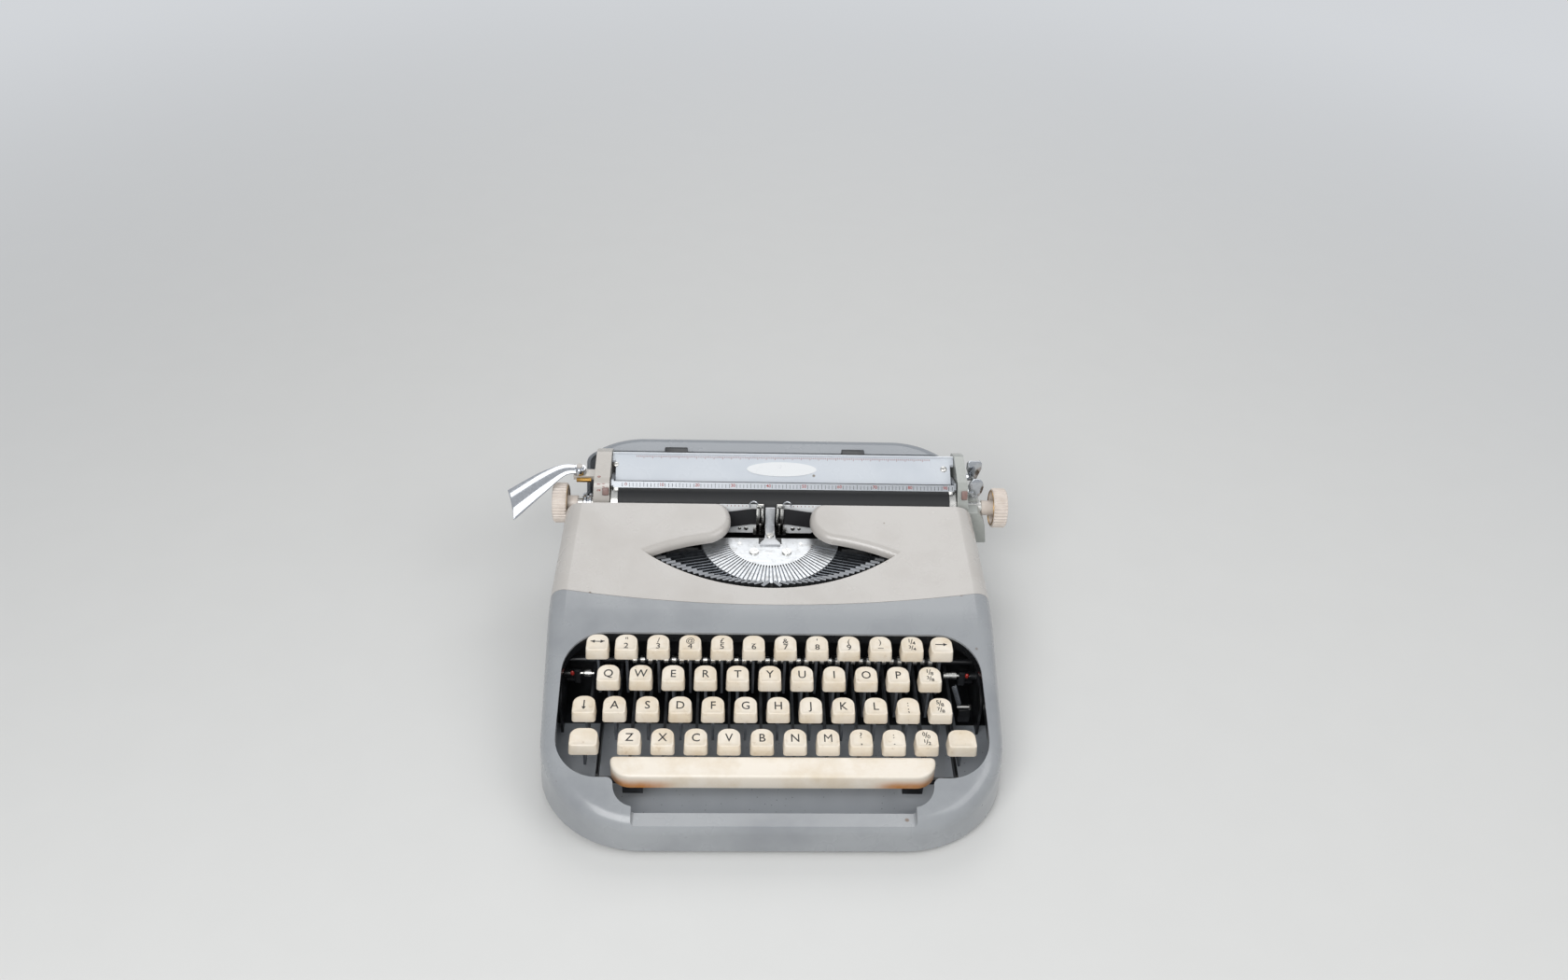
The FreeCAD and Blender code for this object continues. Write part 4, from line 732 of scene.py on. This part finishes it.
# ---- Ribbon, type guide and card plates
# Sheet steel: a frosted plate between two plated uprights with chromed wire ears, and white-
# enamelled card plates with red lines and rivets. An inked cotton ribbon runs between spools.
guide_depth = (68.0, 69.6)
guide_outline = [
    (-3.1, 68.0), (-3.1, 58.0), (-3.7, 53.0), (-6.6, 48.8), (-6.6, 47.0), (6.6, 47.0), (6.6, 48.8),
    (3.7, 53.0), (3.1, 58.0), (3.1, 68.0)]
# Outline of the painted shade that stands for a notch beside the guide's waist.
notch_shade_outline = [(4.6, 48.9), (7.6, 48.9), (7.4, 54.6), (3.8, 54.6)]
foot_top = 61.2
upright_near = 4.2
upright_far = 9.0
upright_low = 52.0
upright_top = 78.0
ear_radius = 2.6
ear_wire_radius = 0.55
card_front = 71.4
card_near = 9.0
card_far = 33.6
card_low = 51.0
card_top = 74.6
card_line_pitch = 2.54
card_thickness = 0.5

# Chrome plate: a bluish mirror, faintly smeared.
chrome = clouded("chrome_plate", {"Scale": 500.0, "Detail": 5.0}, ("#a9acb1", "#cdcfd2"),
                 (0.05, 0.2), Metallic=1.0)

# Frosted steel: the guide's centre plate, sand-blasted so that it does not dazzle.
frosted = clouded("sand_blasted_steel", {"Scale": 1500.0, "Detail": 4.0, "Roughness": 0.7},
                  ("#a6a8ab", "#e4e5e6"), (0.35, 0.6), Metallic=0.8)

# White card enamel: an off-white baked coat, scuffed and ink-smudged.
card_white, tree, place = new_material("white_card_enamel", IOR=1.5)
smudge = node(tree, "TexNoise", {"Vector": place, "Scale": 200.0, "Detail": 6.0, "Roughness": 0.7})
inked = node(tree, "MapRange", {"Value": smudge, "From": (0.6, 0.75), "To Max": 0.4})
dress(tree, (inked, "#ebedee", "#9c9fa3"), (smudge, 0.3, 0.6))

# Inked ribbon: fine cotton weave soaked in black ink, with a dull sheen.
ribbon, tree, place = new_material("inked_cotton_ribbon", Roughness=0.75, Sheen_Weight=0.15)
weave = [
    node(tree, "TexWave", {"Vector": place, "Scale": 700.0}, bands_direction=way).outputs["Fac"]
    for way in "XZ"]
threads = node(tree, "Math", {0: weave[0], 1: weave[1]}, operation="MULTIPLY")
dress(tree, (threads, "#0f0f12", "#26262b"), relief=(threads, 0.3, 0.0001))

# Red printing on metal: thin, slightly worn.
red_ink = clouded("red_scale_paint", {"Scale": 800.0, "Detail": 3.0}, ("#a3372c", "#7c3228"), Roughness=0.55)


def thicken(bm, shift):
    """Sweeps flat faces along a vector into a solid plate."""
    swept = bmesh.ops.extrude_face_region(bm, geom=bm.faces[:])["geom"]
    verts = [part for part in swept if isinstance(part, bmesh.types.BMVert)]
    bmesh.ops.translate(bm, vec=shift, verts=verts)
    face_out(bm)


runs = cad_solids("ribbon_works", lambda low, high: high.y - low.y < 1)
piece("ribbon_runs", runs, ribbon, "root", "ribbon_works")
spools = cad_solids("ribbon_works", lambda low, high: high.y - low.y > 25)
piece("ribbon_spools", spools, japan, "root")
bm = bmesh.new()
flat(bm, [(body_x + x, y, segment_top) for x, y in guide_outline])
thicken(bm, (0, 0, foot_top - segment_top))
rounded(bm, bm.edges[:], 0.25, 2)
brick(bm, (body_x - 3.1, body_x + 3.1), (67.0, 68.0), (segment_top, 75.4), 0.3)
piece("guide_plate", bm, frosted, "root")
screw = drawn(slotted_head, Vector((body_x, 55.8, foot_top)), 2.5, 1.0, 0.6, 35)
piece("guide_screw", screw, nickel, "root")
# Painted shade: flat black faces on the segment either side of the guide's waist stand in for the dark
# inside of two notches.
bm = bmesh.new()
for side in (-1, 1):
    flat(bm, [(body_x + side * x, y, segment_top + 0.1) for x, y in notch_shade_outline])
face_out(bm)
piece("segment_notch_shade", bm, japan, "root")
for name, side in (("left", -1), ("right", 1)):
    bm = bmesh.new()
    for near, far in ((upright_near, upright_near + 1.7), (upright_far - 2.2, upright_far)):
        brick(bm, span(body_x, side, near, far), guide_depth, (upright_low, upright_top - 2.0), 0.3)
    for height in ((74.0, upright_top - 1.0), (upright_low, 60.8)):
        brick(bm, span(body_x, side, upright_near, upright_far), guide_depth, height, 0.4)
    brick(bm, span(body_x, side, 8.0, 11.0), (guide_depth[0], card_front + 0.5), (upright_low, 56.0), 0.2)
    piece(name + "_guide_upright", bm, nickel, "root")
    bm = bmesh.new()
    ring = bmesh.ops.create_circle(bm, segments=10, radius=ear_wire_radius)["verts"]
    bmesh.ops.translate(bm, vec=(ear_radius, 0, 0), verts=ring)
    bmesh.ops.rotate(bm, matrix=Matrix.Rotation(math.radians(40), 3, "Y"), verts=ring)
    bmesh.ops.spin(
        bm, geom=ring + bm.edges[:], cent=(0, 0, 0), axis=(0, -1, 0), angle=math.radians(260), steps=28)
    bmesh.ops.holes_fill(bm, edges=bm.edges)
    face_out(bm)
    move(bm, (body_x + side * 11.0, 68.8, 76.6))
    piece(name + "_guide_ear", bm, chrome, "root")
    bm = bmesh.new()
    flat(bm, [(body_x + side * x, card_front, z) for x, z in (
        (card_near, card_low), (card_far - 6, card_low), (card_far, card_low + 6), (card_far, card_top),
        (card_near, card_top))])
    thicken(bm, (0, card_thickness, 0))
    piece(name + "_card_plate", bm, card_white, "root")
    bm = bmesh.new()
    for i in range(7):
        x = body_x + side * (13.0 + i * card_line_pitch)
        flat(bm, [(x + dx, card_front - 0.03, z) for dx, z in (
            (-0.18, 73.2), (0.18, 73.2), (0.18, 74.3), (-0.18, 74.3))])
    face_out(bm)
    piece(name + "_card_lines", bm, red_ink, "root")
    bm = bmesh.new()
    for x, radius in ((15.6, 1.5), (19.8, 1.2)):
        join(bm, squashed_ball(radius, (1, 0.4, 1), 10), (body_x + side * x, card_front, 54.6))
    piece(name + "_card_rivets", bm, nickel, "root")

# ---- Carriage ends, rails and paper pan
# Two die-cast end frames, enamelled light grey and grey-green, are joined by a beam, a curved
# pressed pan under the platen and a square margin rail with two black stops astride it.
platen_x, platen_y, platen_z = [value / mm for value in joints["cylinder_turn"]["pos_m"]]
stop_lefts = (-71.5, 49.4)
stop_length = 16.0
end_grey = "#c0bbb4"
end_shade = "#b0aaa3"
right_end_grey = "#abaea9"
right_end_shade = "#9da09b"
casting_rust = "#7a5a48"
cap_front = Vector((0, 77.2, 68.3))  # the left end's cover slopes up through these three
cap_brow = Vector((0, 84.2, 82.3))
cap_top = Vector((0, 111.5, 88.0))
print_lift = 0.12


def soft_edges(made, width, segments=2):
    """Rounds a piece's sharp edges by so many millimetres."""
    bevel = made.modifiers.new("soft edges", "BEVEL")
    bevel.width = width * mm
    bevel.segments = segments
    bevel.limit_method = "ANGLE"
    bevel.angle_limit = math.radians(38)
    bevel.use_clamp_overlap = True


def frame_piece(name, material, wanted, node_name=None):
    """Those solids of the carriage frame that wanted accepts, as a piece."""
    return piece(name, cad_solids("carriage_frame", wanted), material, "carriage_frame", node_name)


def on_slope(foot, head, share, x, lift):
    """Matrix that stands flat work on a surface sloping up from foot to head."""
    up = (head - foot).normalized()
    out = Vector((0, -up.z, up.y))
    spot = foot.lerp(head, share) + out * lift
    return Matrix(((1, 0, 0, x), (0, up.y, out.y, spot.y), (0, up.z, out.z, spot.z), (0, 0, 0, 1)))


# Brass: yellow metal, slightly tarnished.
brass = clouded("tarnished_brass", {"Scale": 400.0, "Detail": 4.0}, ("#b58d4c", "#8a6a3a"),
                (0.2, 0.45), Metallic=1.0)

# Phenolic resin: brown moulded plastic with a pinkish bloom.
phenolic = clouded("brown_phenolic_resin", {"Scale": 350.0, "Detail": 4.0}, ("#6f5048", "#a08680"),
                   (0.25, 0.5), IOR=1.55)

left_end = frame_piece(
    "left_end_frame", enamel("enamelled_casting_light_grey", end_grey, end_shade, casting_rust, 110.0),
    lambda low, high: high.x < platen_x - 100 and high.z > 85, "carriage_frame")
soft_edges(left_end, 1.2, 3)
right_end = frame_piece(
    "right_end_frame",
    enamel("enamelled_casting_grey_green", right_end_grey, right_end_shade, casting_rust, 110.0),
    lambda low, high: low.x > platen_x + 100 and high.z > 85)
soft_edges(right_end, 1.2, 3)
frame_piece("pan_and_rails", japan, lambda low, high: high.x - low.x > 200)
stops = frame_piece(
    "margin_stops", japan, lambda low, high: 10 < high.x - low.x < 20 and low.y > 115)
soft_edges(stops, 0.5)
edges = bmesh.new()
caps = bmesh.new()
for left in stop_lefts:
    near = body_x + left
    far = near + stop_length
    brick(edges, (near, far), (117.5, 118.4), (78.9, 80.0), 0.2)
    for x in ((near, near + 1), (far - 1, far)):
        brick(edges, x, (117.5, 118.4), (79.0, 82.4), 0.2)
    brick(caps, (near + 0.2, far - 0.2), (118.3, 124.5), (79.6, 82.6), 0.6)
piece("margin_stop_edges", edges, nickel, "carriage_frame")
piece("margin_stop_caps", caps, japan, "carriage_frame")

# The left end carries the line-space selector, its printed numbers and a brass pin. Each
# end has a brown moulded button.
bm = bmesh.new()
for text, foot, head, share in (
        ("0", cap_brow, cap_top, 0.16), ("1", cap_front, cap_brow, 0.9), ("2", cap_front, cap_brow, 0.64)):
    place = on_slope(foot, head, share, -107.4, print_lift)
    join(bm, lettering(text, 2.1, 1.0, 0.06), place @ Matrix.Rotation(math.pi / 2, 4, "Z"))
for share in (0.56, 0.68, 0.8, 0.92):
    tick = drawn(stroke, (-0.8, 0.8), (-0.16, 0.16))
    join(bm, tick, on_slope(cap_front, cap_brow, share, -104.4, print_lift))
piece("selector_numbers", bm, red_ink, "carriage_frame")
bm = bmesh.new()
for half_x, half_y, thickness, soft, share, x in (
        (2.2, 2.6, 1.7, 0.9, 0.6, -102.9), (2.0, 3.0, 1.6, 0.8, 0.62, 135.4)):
    button = drawn(brick, (-half_x, half_x), (-half_y, half_y), (-0.5, thickness), soft, 4)
    join(bm, button, on_slope(cap_front, cap_brow, share, x, print_lift))
piece("selector_button", bm, phenolic, "carriage_frame")
pin = drawn(turned, [(0, 0.0), (0, 1.3), (0.3, 1.5), (9.6, 1.5), (9.6, 0.0)], (-122.6, 90.4, 79.0), 24)
piece("selector_pin", pin, brass, "carriage_frame")

# ---- Paper table
# A pressed sheet-steel back rest behind the platen, enamelled pale silver-blue, with a
# bare white oval plate riveted to its middle and a paper scale printed along its edge.
table_blue = "#d6dbe1"
table_shade = "#cdd3da"
table_rust = "#8b8478"
table_front = Vector((0, 94.5, 76.0))
table_rear = Vector((0, 111.5, 84.8))
oval_size = (23.5, 5.3, 1)
oval_thickness = 0.5
table_mark_pitch = 1.18
finish_node("paper_table", enamel("enamelled_table_silver_blue", table_blue, table_shade, table_rust, 55.0))
bm = bmesh.new()
bmesh.ops.create_circle(bm, cap_ends=True, segments=48, radius=1.0)
bmesh.ops.scale(bm, vec=oval_size, verts=bm.verts)
thicken(bm, (0, 0, oval_thickness))
move(bm, on_slope(table_front, table_rear, 0.5, platen_x - 1.5, 0))
piece("table_oval_plate", bm, card_white, "carriage_frame")
bm = bmesh.new()
for i in range(-84, 85):
    x = i * table_mark_pitch
    stroke(bm, (x - 0.14, x + 0.14), (-1.6 if i % 5 else -2.4, -0.3))
move(bm, on_slope(table_front, table_rear, 1.0, platen_x, 0.04))
piece("table_scale", bm, red_ink, "carriage_frame")
bm = bmesh.new()
for x, share, radius in ((123.7, 0.6, 2.3), (-97.6, 0.62, 1.9)):
    rivet = squashed_ball(radius, (1, 1, 0.45), segments=24)
    join(bm, rivet, on_slope(table_front, table_rear, share, x, 0))
piece("table_rivets", bm, nickel, "carriage_frame")

# ---- Platen and knobs
# A ground rubber sleeve on a steel core with plain metal end rings. The knobs are ribbed
# cups moulded in pale plastic over a brass-rimmed hub, pinned to the platen's shaft.
roller_radius = 14.0
roller_half = 110.4
ring_radius = 13.6
ring_width = 4.6
bore_radius = 5.0
knob_radius = 13.4
knob_width = 9.5
knob_places = {"left_knob": -153.7, "right_knob": 150.0}
knob_steps = 144  # four of these steps make one rib and one groove
groove_depth = 0.7
knob_cream = "#efe6de"
knob_grime = "#c4b6a9"
platen_middle = (platen_x, platen_y, platen_z)

# Ground rubber: matt black, polished in patches.
rubber = clouded("ground_rubber", {"Scale": 350.0, "Detail": 5.0}, ("#08090a", "#141518"),
                 (0.45, 0.65), IOR=1.5)

# Knob plastic: pale moulded urea resin, grimy in clouds.
urea = clouded("moulded_urea_resin", {"Scale": 180.0, "Detail": 5.0, "Roughness": 0.65},
               (knob_cream, knob_grime), (0.3, 0.5), IOR=1.54)

roller = drawn(turned, sleeve(roller_half, roller_radius, bore_radius), platen_middle, 96)
piece("platen_roller", roller, rubber, "platen", "platen")
bm = bmesh.new()
ring_near = roller_half - 0.2
ring_far = roller_half + ring_width
for side in (-1, 1):
    turned(bm, [
        (ring_near, bore_radius), (ring_near, ring_radius), (ring_far - 0.4, ring_radius),
        (ring_far, ring_radius - 0.4), (ring_far, 6.0), (ring_far - 0.8, bore_radius),
        (ring_near, bore_radius)],
        platen_middle, 64, side)
turned(bm, [(-150.0, 0.0), (-150.0, 4.0), (146.0, 4.0), (146.0, 0.0)], platen_middle)
piece("platen_rings_and_shaft", bm, nickel, "platen")
# The clutch that frees the platen from its ratchet: two chromed discs beside the left knob.
clutch = drawn(turned, [
    (-118.6, 4.0), (-118.6, 6.4), (-117.8, 7.0), (-116.6, 7.0), (-116.0, 5.0), (-114.9, 5.0), (-114.4, 6.6),
    (-113.2, 6.6), (-112.8, 4.0)], (0, platen_y, platen_z), 48)
piece("platen_clutch", clutch, chrome, "platen")
for name, reach in knob_places.items():
    side = math.copysign(1, reach)
    centre = (platen_x + reach, platen_y, platen_z)
    bm = drawn(turned, [
        (0, 0.0), (0, 4.2), (-1.0, 4.6), (-1.0, 8.6), (-0.4, 9.4), (0, 10.6), (0, 12.2), (-0.5, 12.9),
        (-1.2, knob_radius), (1.0 - knob_width, knob_radius), (0.4 - knob_width, 13.0), (-knob_width, 12.6),
        (-knob_width, 11.2), (0.5 - knob_width, 11.0), (-3.0, 10.8), (-2.6, 5.0), (-knob_width - 6.6, 5.0),
        (-knob_width - 7.0, 4.6), (-knob_width - 7.0, 3.9)], centre, knob_steps, side)
    for vert in bm.verts:
        arm = vert.co - Vector((vert.co.x, platen_y, platen_z))
        turn = round(math.atan2(arm.z, arm.y) / math.tau * knob_steps) % 4
        if arm.length > knob_radius - 0.1 and turn < 2:
            vert.co -= arm.normalized() * groove_depth
    piece(name, bm, urea, "platen", sharp=28)
    mouth = (centre[0] - side * (knob_width - 0.2), platen_y, platen_z)
    rim = drawn(turned, [(0, 11.1), (0.5, 11.2), (0.5, 11.9), (0, 12.0), (0, 11.1)], mouth, 64, -side)
    piece(name + "_rim", rim, brass, "platen")

# ---- Paper bail
# A satin aluminium strip with one printed mark for each space the carriage moves, on two
# swinging steel arms, with a brown moulded finger tab at the right arm.
strip_middle = Vector((platen_x, 85.5, 79.4))
strip_tilt = math.radians(48.0)
strip_thickness = 0.9
strip_mark_pitch = 2.36
tab_left = 0.1304  # the tab starts here; in metres along X

# Satin aluminium: soft sheen, brushed along the strip.
satin, tree, place = new_material("satin_aluminium", Metallic=0.85)
stretch = node(tree, "Mapping", {"Vector": place, "Scale": (20.0, 1500.0, 1500.0)})
brush = node(tree, "TexNoise", {"Vector": stretch, "Scale": 1.0, "Detail": 3.0})
tone = node(tree, "Mix", {0: brush, 6: "#85888c", 7: "#a2a5a9"})
axes = node(tree, "SeparateXYZ", {"Vector": place})
on_tab = node(tree, "Math", {0: axes.outputs["X"], 1: tab_left}, operation="GREATER_THAN")
dress(tree, (on_tab, tone, "#5d4038"), (brush, 0.3, 0.5))
finish_node("paper_bail", satin)

on_strip = Matrix.Translation((0, 0, strip_thickness + 0.03))
strip_face = Matrix.Translation(strip_middle) @ Matrix.Rotation(strip_tilt, 4, "X") @ on_strip
ticks = bmesh.new()
numbers = bmesh.new()
for i in range(-1, 93):
    x = (i - 44.5) * strip_mark_pitch
    if i % 10 == 0:
        join(numbers, lettering(str(i), 2.1, 1.0, 0.05), (x, 0.1, 0.01))
    else:
        stroke(ticks, (x - 0.16, x + 0.16), (-1.5, 1.5 if i % 5 == 0 else 1.0))
for name, bm, colour in (("bail_ticks", ticks, ink), ("bail_numbers", numbers, red_ink)):
    move(bm, strip_face)
    piece(name, bm, colour, "paper_bail")

# ---- Return lever and carriage levers
# Pressed steel, polished and chromed. The return lever is a crowned blade that widens to a
# hand-sized paddle and turns on a stud; two small paddles free the paper and the carriage.
lever_stud = Vector([value / mm for value in joints["carriage_return_hinge"]["pos_m"]])
lever_path = [  # the blade's middle line from the stud, and its width there
    (Vector((0, 0, 1.7)), 6.5), (Vector((-9.8, -3.2, 3.6)), 8.0),
    (Vector((-23.3, -15.0, 1.6)), 15.5), (Vector((-41.3, -35.0, -1.6)), 22.0)]
lever_across = Vector((0.26, -0.87, -0.42)).normalized()
lever_up = (lever_path[3][0] - lever_path[2][0]).cross(lever_across).normalized()
lever_crown = 3.0 / 23.0  # height of the crown as a share of the blade's width
lever_thickness = 1.2
fan_x = 144.9
fan_thickness = 1.4
fan_lean = math.radians(-9)
arm_x = (139.6, 143.6)
fans = {  # body, paddle's y and foot, arm's far end and height, half outline
    "paper_release_lever": ("paper_release", 105.0, 71.5, 109.0, 72.6, [
        (2.0, 0), (3.3, 4), (5.2, 9), (5.2, 13.2), (3.6, 15.0)]),
    "carriage_release_lever": ("carriage_release", 91.0, 68.0, 97.5, 71.2, [
        (2.0, 0), (4.4, 3.6), (5.2, 7.5), (4.6, 11.2), (2.2, 13.8)]),
}


def along_lever(share):
    """Middle of the lever's blade and its width, from the stud (0) to the tip (1)."""
    spans = len(lever_path) - 1
    i = min(int(share * spans), spans - 1)
    t = share * spans - i
    near = [lever_path[max(0, min(spans, i + k))] for k in (-1, 0, 1, 2)]
    return [
        0.5 * (2 * b + (c - a) * t + (2 * a - 5 * b + 4 * c - d) * t * t + (3 * b - a - 3 * c + d) * t ** 3)
        for a, b, c, d in zip(*near)]


bm = bmesh.new()
bmesh.ops.create_grid(bm, x_segments=48, y_segments=14, size=0.5)
for vert in bm.verts:
    middle, width = along_lever(vert.co.x + 0.5)
    across = vert.co.y * 2
    crown = lever_crown * width * (1 - across * across)
    vert.co = lever_stud + middle + lever_across * across * width / 2 + lever_up * crown
face_out(bm)
lever = piece("return_lever_blade", bm, chrome, "return_lever", "return_lever", 60)
wall = lever.modifiers.new("sheet", "SOLIDIFY")
wall.thickness = lever_thickness * mm
wall.offset = 0.0
soft_edges(lever, 0.4)
bm = bmesh.new()
disc(bm, lever_stud, 4.4, 4.0, 3.4)
slotted_head(bm, lever_stud + Vector((0, 0, 3.4)), 3.0, 1.4, 0.8, 50)
piece("return_lever_boss", bm, chrome, "return_lever")
for name, (body, fan_y, fan_z, pin_y, arm_z, side) in fans.items():
    bm = bmesh.new()
    flat(bm, [(x, 0, z) for x, z in side + [(-x, z) for x, z in reversed(side)]])
    thicken(bm, (0, fan_thickness, 0))
    rounded(bm, bm.edges[:], 0.5, 3)
    move(bm, Matrix.Rotation(fan_lean, 4, "X"))
    move(bm, (fan_x, fan_y, fan_z))
    brick(bm, arm_x, sorted((fan_y, pin_y + 1.5)), (arm_z - 1.1, arm_z + 1.1), 0.5)
    piece(name + "_fan", bm, chrome, body, name)

# ---- Floor, light and camera
# A plain pale table top with soft studio light from large lamps above. The camera looks
# down over the typist's side of the machine.
floor_pale = "#dcdcda"
floor_shade = "#d9d9d7"
floor_half = 8.0
backdrop = "#dfe2e6"
backdrop_strength = 0.88  # as the camera sees it
sky_strength = 0.4  # as light on the machine
lamp_aim = Vector((0, 0, 0.05))
lamps = {  # place, size and power
    "key_lamp": ((-0.4, -1.0, 1.0), 0.9, 13.0),
    "fill_lamp": ((0.9, -0.4, 1.0), 0.8, 4.5),
    "rear_lamp": ((0.1, 1.0, 1.1), 0.9, 5.0),
}
camera_place = Vector((-22.9, -634.0, 626.6)) * mm
camera_pitch, camera_yaw, camera_roll = [math.radians(angle) for angle in (37.362, 3.02, 2.577)]
camera_lens = 31.24


def seen_directly(tree):
    """1 for rays that come from the camera, a mirror or glass."""
    path = node(tree, "LightPath", {}).outputs
    seen = path["Is Camera Ray"]
    for ray in ("Is Glossy Ray", "Is Transmission Ray"):
        seen = node(tree, "Math", {0: seen, 1: path[ray]}, operation="MAXIMUM")
    return seen


bm = bmesh.new()
bmesh.ops.create_grid(bm, x_segments=1, y_segments=1, size=floor_half)
mesh = bpy.data.meshes.new("floor")
bm.to_mesh(mesh)
bm.free()
floor = add_object("floor", mesh)

# Painted table top: matt and pale. Far from the machine it fades into the backdrop, which
# adds no light to the machine.
surface, tree, place = new_material("painted_table_top", Roughness=0.7)
grain = node(tree, "TexNoise", {"Vector": place, "Scale": 30.0, "Detail": 4.0})
dress(tree, (grain, floor_pale, floor_shade))
away = node(tree, "VectorMath", {0: place}, operation="LENGTH")
far = node(tree, "MapRange", {
    "Value": away.outputs["Value"], "From": (0.35, 1.6)}, interpolation_type="SMOOTHSTEP")
fade = node(tree, "Math", {0: far, 1: seen_directly(tree)}, operation="MULTIPLY")
haze = node(tree, "Emission", {"Color": backdrop, "Strength": backdrop_strength})
fill(tree.nodes["Material Output"], {"Surface": node(tree, "MixShader", {
    0: fade, 1: tree.nodes["Principled BSDF"], 2: haze})})
mesh.materials.append(surface)
world = bpy.data.worlds.new("studio")
world.use_nodes = True
bpy.context.scene.world = world
tree = world.node_tree
fill(tree.nodes["Background"], {"Color": backdrop, "Strength": node(tree, "MapRange", {
    "Value": seen_directly(tree), "To": (sky_strength, backdrop_strength)})})
for name, (spot, size, power) in lamps.items():
    lamp = bpy.data.lights.new(name, "AREA")
    lamp.size = size
    lamp.energy = power
    holder = add_object(name, lamp)
    holder.location = spot
    holder.rotation_euler = (lamp_aim - Vector(spot)).to_track_quat("-Z", "Y").to_euler()

camera = bpy.data.cameras.new("camera")
camera.sensor_width = 36.0
camera.lens = camera_lens
camera.clip_start = 0.01
holder = add_object("camera", camera)
holder.matrix_world = (
    Matrix.Translation(camera_place) @ Matrix.Rotation(-camera_yaw, 4, "Z")
    @ Matrix.Rotation(math.pi / 2 - camera_pitch, 4, "X") @ Matrix.Rotation(camera_roll, 4, "Z"))
bpy.context.scene.camera = holder
bpy.context.scene.view_settings.view_transform = "Standard"
